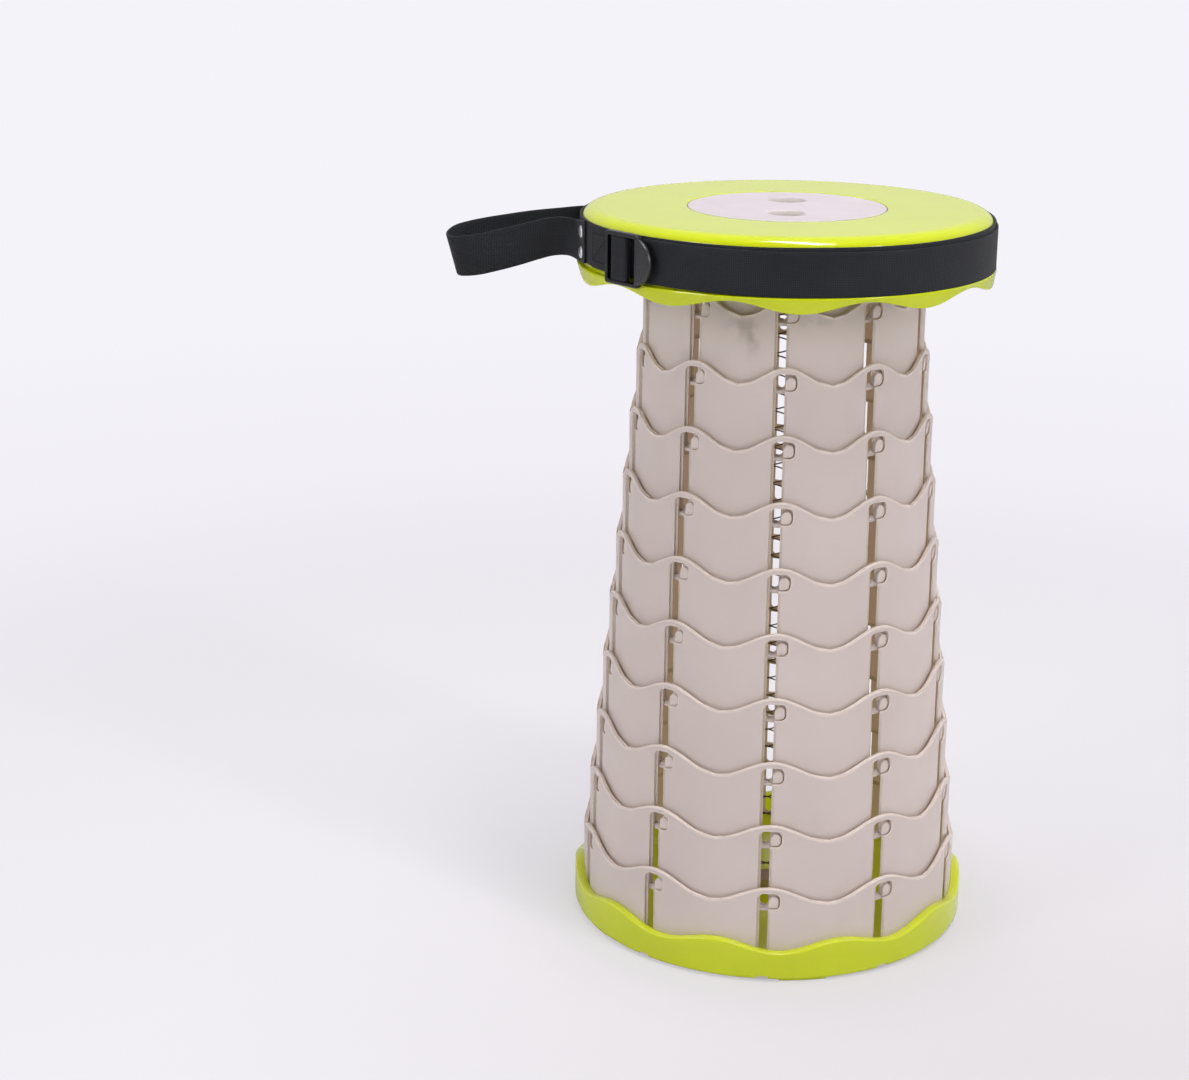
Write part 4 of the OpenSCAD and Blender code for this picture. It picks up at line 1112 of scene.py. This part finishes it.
# %% [markdown]
# ### The buckle
# A ladder buckle: a frame with a window, a wide bar that the webbing wraps, and a half-round
# thumb plate on its right. The frame's surface runs from its outer outline, over a rounded edge,
# across the face and down into the window. Its two outlines are rounded rectangles whose points
# correspond, so straight lines between them make clean faces.

# %% Buckle
FRAME_H, FRAME_ROUND, WINDOW_W, WINDOW_H, WINDOW_OFF, WINDOW_ROUND = 30.6, 2.2, 23.6, 25.8, 0.37, 0.9
FACE, BACK, SOFT = BAR_R + BUCKLE_T, BAR_R, 1.1
THUMB_REACH, THUMB_FROM, THUMB_HALF = 10.9, 12.3, 13.2
SIDE_STEPS = 6


def rounded_rectangle(centre_u, width, height, radius):
    """Points of a rectangle with round corners; every such loop has the same count."""
    radius = max(radius, 0.05)
    points = []
    for i, (su, sz) in enumerate(((1, -1), (1, 1), (-1, 1), (-1, -1))):
        corner_u, corner_z = centre_u + su * (width / 2 - radius), BUCKLE_Z + sz * (height / 2 - radius)
        points.append(arc(corner_u, corner_z, radius, 90 * (i - 1), 90 * i, SIDE_STEPS))
    runs = []
    for i in range(4):
        start, end = points[i][-1], points[(i + 1) % 4][0]
        runs += [points[i], start + (end - start) * np.linspace(0, 1, SIDE_STEPS + 2)[1:-1, None]]
    return np.concatenate(runs)


def outer_line(inset):
    return rounded_rectangle(0, BUCKLE_W - 2 * inset, FRAME_H - 2 * inset, FRAME_ROUND - inset)


def window_line(inset):
    return rounded_rectangle(WINDOW_OFF, WINDOW_W + 2 * inset, WINDOW_H + 2 * inset, WINDOW_ROUND + inset)


def bar_line(inset):
    return rounded_rectangle(WRAP_MID, WRAP_BAR_W - 0.4 - 2 * inset, WINDOW_H + 2, 0.3)


def thumb_line(inset):
    """Straight on the window's side, and outside an arc of radius (h^2 + d^2) / 2d."""
    half, flat = THUMB_HALF - inset, BUCKLE_W / 2 - 0.6
    reach = BUCKLE_W / 2 + THUMB_REACH - inset
    radius = (half ** 2 + (reach - flat) ** 2) / (2 * (reach - flat))
    span = math.degrees(math.asin(min(1.0, half / radius)))
    curve = arc(reach - radius, BUCKLE_Z, radius, -span, span, 34)
    return np.concatenate([[[THUMB_FROM + inset, BUCKLE_Z - half]], curve, [[THUMB_FROM + inset, BUCKLE_Z + half]]])


def loops_at(outline, rows):
    """Rows of (inset, out) of an outline to a grid of points in front of the rim."""
    return np.stack([at_buckle(outline(inset)[:, 0], out, outline(inset)[:, 1]) for inset, out in rows])


edge = [(SOFT * (1 - math.cos(a)), FACE - SOFT * (1 - math.sin(a))) for a in np.radians([22, 45, 68, 90])]
buckle = Shell()
buckle.add_grid(np.concatenate([
    loops_at(outer_line, [(0.4, BACK), (0, BACK + 0.4), (0, FACE - SOFT), *edge]),
    loops_at(window_line, [(0.5, FACE), (0.15, FACE - 0.15), (0, FACE - 0.5), (0, BACK)]),
    loops_at(outer_line, [(0.4, BACK)])]), wrap=True)
bar_rows = ((0.3, -0.55), (0, -0.3), (0, 0.3), (0.3, 0.55))
buckle.add_bar(loops_at(bar_line, [(inset, BAR_R + BUCKLE_T / 2 + out) for inset, out in bar_rows]))
thumb = loops_at(thumb_line, [(0.3, FACE - 2.2), (0, FACE - 1.9), (0, FACE - 0.45), (0.2, FACE - 0.1),
    (0.7, FACE + 0.08), (1.6, FACE + 0.1)])
# The thumb plate's face is painted paler, for rubbed wear and a painted highlight.
buckle.add_bar(thumb, rubbed=np.outer([0, 0, 0.5, 0.6, 0.7, 0.6], np.ones(thumb.shape[1])))
write_piece("strap_buckle", buckle, "black_plastic")

# %% [markdown]
# ## Pieces that keep their CAD shape
# The screws, the spring's plugs and the rivets' inner caps are inside. They keep their CAD meshes
# and get the same node materials. The lower plug shows a little through the lowest slots, where
# the picture has beige, so both plugs are beige.

# %% Hidden pieces
slots = {part["node"]: part["material_slot"] for part in frame["record"]["subparts"]}
for name, cad_node in frame["nodes"].items():
    cad_node.data.materials.clear()
    cad_node.data.materials.append(BEIGE if name.startswith("spring_plug") else FINISHES[slots[name]])
print("nodes with a finish:", len(frame["nodes"]))

# %% [markdown]
# ## Studio
# A white studio: a pale floor that runs into a white background, two soft lamps in front, one
# above, and a bright surrounding. The seat's pale top in the picture is the white background,
# mirrored at a grazing angle, so the surroundings are brighter behind the stool than in front.

# %% Lamps
def area_lamp(name, place, target, size, watts):
    data = bpy.data.lights.new(name, "AREA")
    data.shape, data.size, data.size_y = "RECTANGLE", size[0], size[1]
    data.energy = watts
    made = put(name, data)
    made.location = place
    made.rotation_euler = (Vector(target) - Vector(place)).to_track_quat("-Z", "Y").to_euler()
    made.visible_camera = False
    print(f"{name}: {watts} W")


area_lamp("left_softbox", (-2.0, -1.6, 1.3), (0, 0, 0.25), (0.8, 1.4), 26)
area_lamp("right_softbox", (2.0, -1.5, 1.3), (0, 0, 0.25), (0.28, 1.4), 27)
area_lamp("top_softbox", (0.2, -0.3, 2.3), (0, 0, 0), (0.3, 1.2), 31)

# %% World: white behind, darker in front
BACKDROP = linear(245, 243, 250)


def blend(nodes, output, share, first, second):
    """The first shader, and as much of the second as the share says, into the output node."""
    mixed = nodes.add("MixShader", Fac=share)
    for socket, shader in zip(mixed.inputs[1:], (first, second)):
        nodes.feed(socket, shader.outputs[0])
    nodes.add(output, Surface=mixed.outputs[0])


world = bpy.data.worlds.new("studio_air")
bpy.context.scene.world = world
nodes = Nodes(world, empty=True)
axes = nodes.add("SeparateXYZ", Vector=nodes.add("TexCoord").outputs["Generated"])
behind = nodes.spread(axes.outputs["Y"], -0.5, 0.35, 0.3, 1.0)
air = nodes.add("Background", Color=linear(250, 249, 255), Strength=nodes.times(behind, 0.72))
backdrop = nodes.add("Background", Color=BACKDROP, Strength=1.0)
blend(nodes, "OutputWorld", nodes.add("LightPath").outputs["Is Camera Ray"], air, backdrop)
print("world nodes:", len(nodes.tree.nodes))

# %% Floor
FLOOR_REACH = 30


def floor_material():
    """Lit floor mixed with a glow, which is darker near the stool's front right: a painted shadow. Far away the glow
    takes over and meets the background.
    """
    material = bpy.data.materials.new("studio_floor")
    nodes = Nodes(material, empty=True)

    def distance(x, y):
        """Metres along the floor from a point."""
        place = nodes.add("TexCoord").outputs["Object"]
        length = nodes.add("VectorMath", operation="LENGTH")
        nodes.feed(length.inputs[0], nodes.add("Mapping", Vector=place, Location=(-x, -y, 0)).outputs["Vector"])
        return length.outputs["Value"]

    depth = nodes.spread(distance(0, 0), 0.3, 2.2)
    # Painted shadow: the glow is darker near a point in front of the base, to its right.
    painted_shadow_fade = nodes.spread(distance(0.22, -0.3), 0.05, 0.6)
    near = nodes.mix(painted_shadow_fade, linear(218, 213, 217), linear(239, 236, 243))
    glow = nodes.add("Emission", Color=nodes.mix(depth, near, BACKDROP), Strength=1.0)
    matt = nodes.add("BsdfDiffuse", Color=linear(220, 217, 219))
    seen = nodes.add("LightPath").outputs["Is Camera Ray"]
    blend(nodes, "OutputMaterial", nodes.times(seen, nodes.spread(depth, 0.0, 0.4, 0.58, 1.0)), matt, glow)
    return material


corners = [(x * FLOOR_REACH, y * FLOOR_REACH, 0) for x, y in ((-1, -1), (1, -1), (1, 1), (-1, 1))]
floor_mesh = bpy.data.meshes.new("floor")
floor_mesh.from_pydata(corners, [], [(0, 1, 2, 3)])
floor_mesh.materials.append(floor_material())
floor = put("floor", floor_mesh)
bpy.context.scene.view_settings.view_transform = "Standard"
print("floor:", 2 * FLOOR_REACH, "m wide")
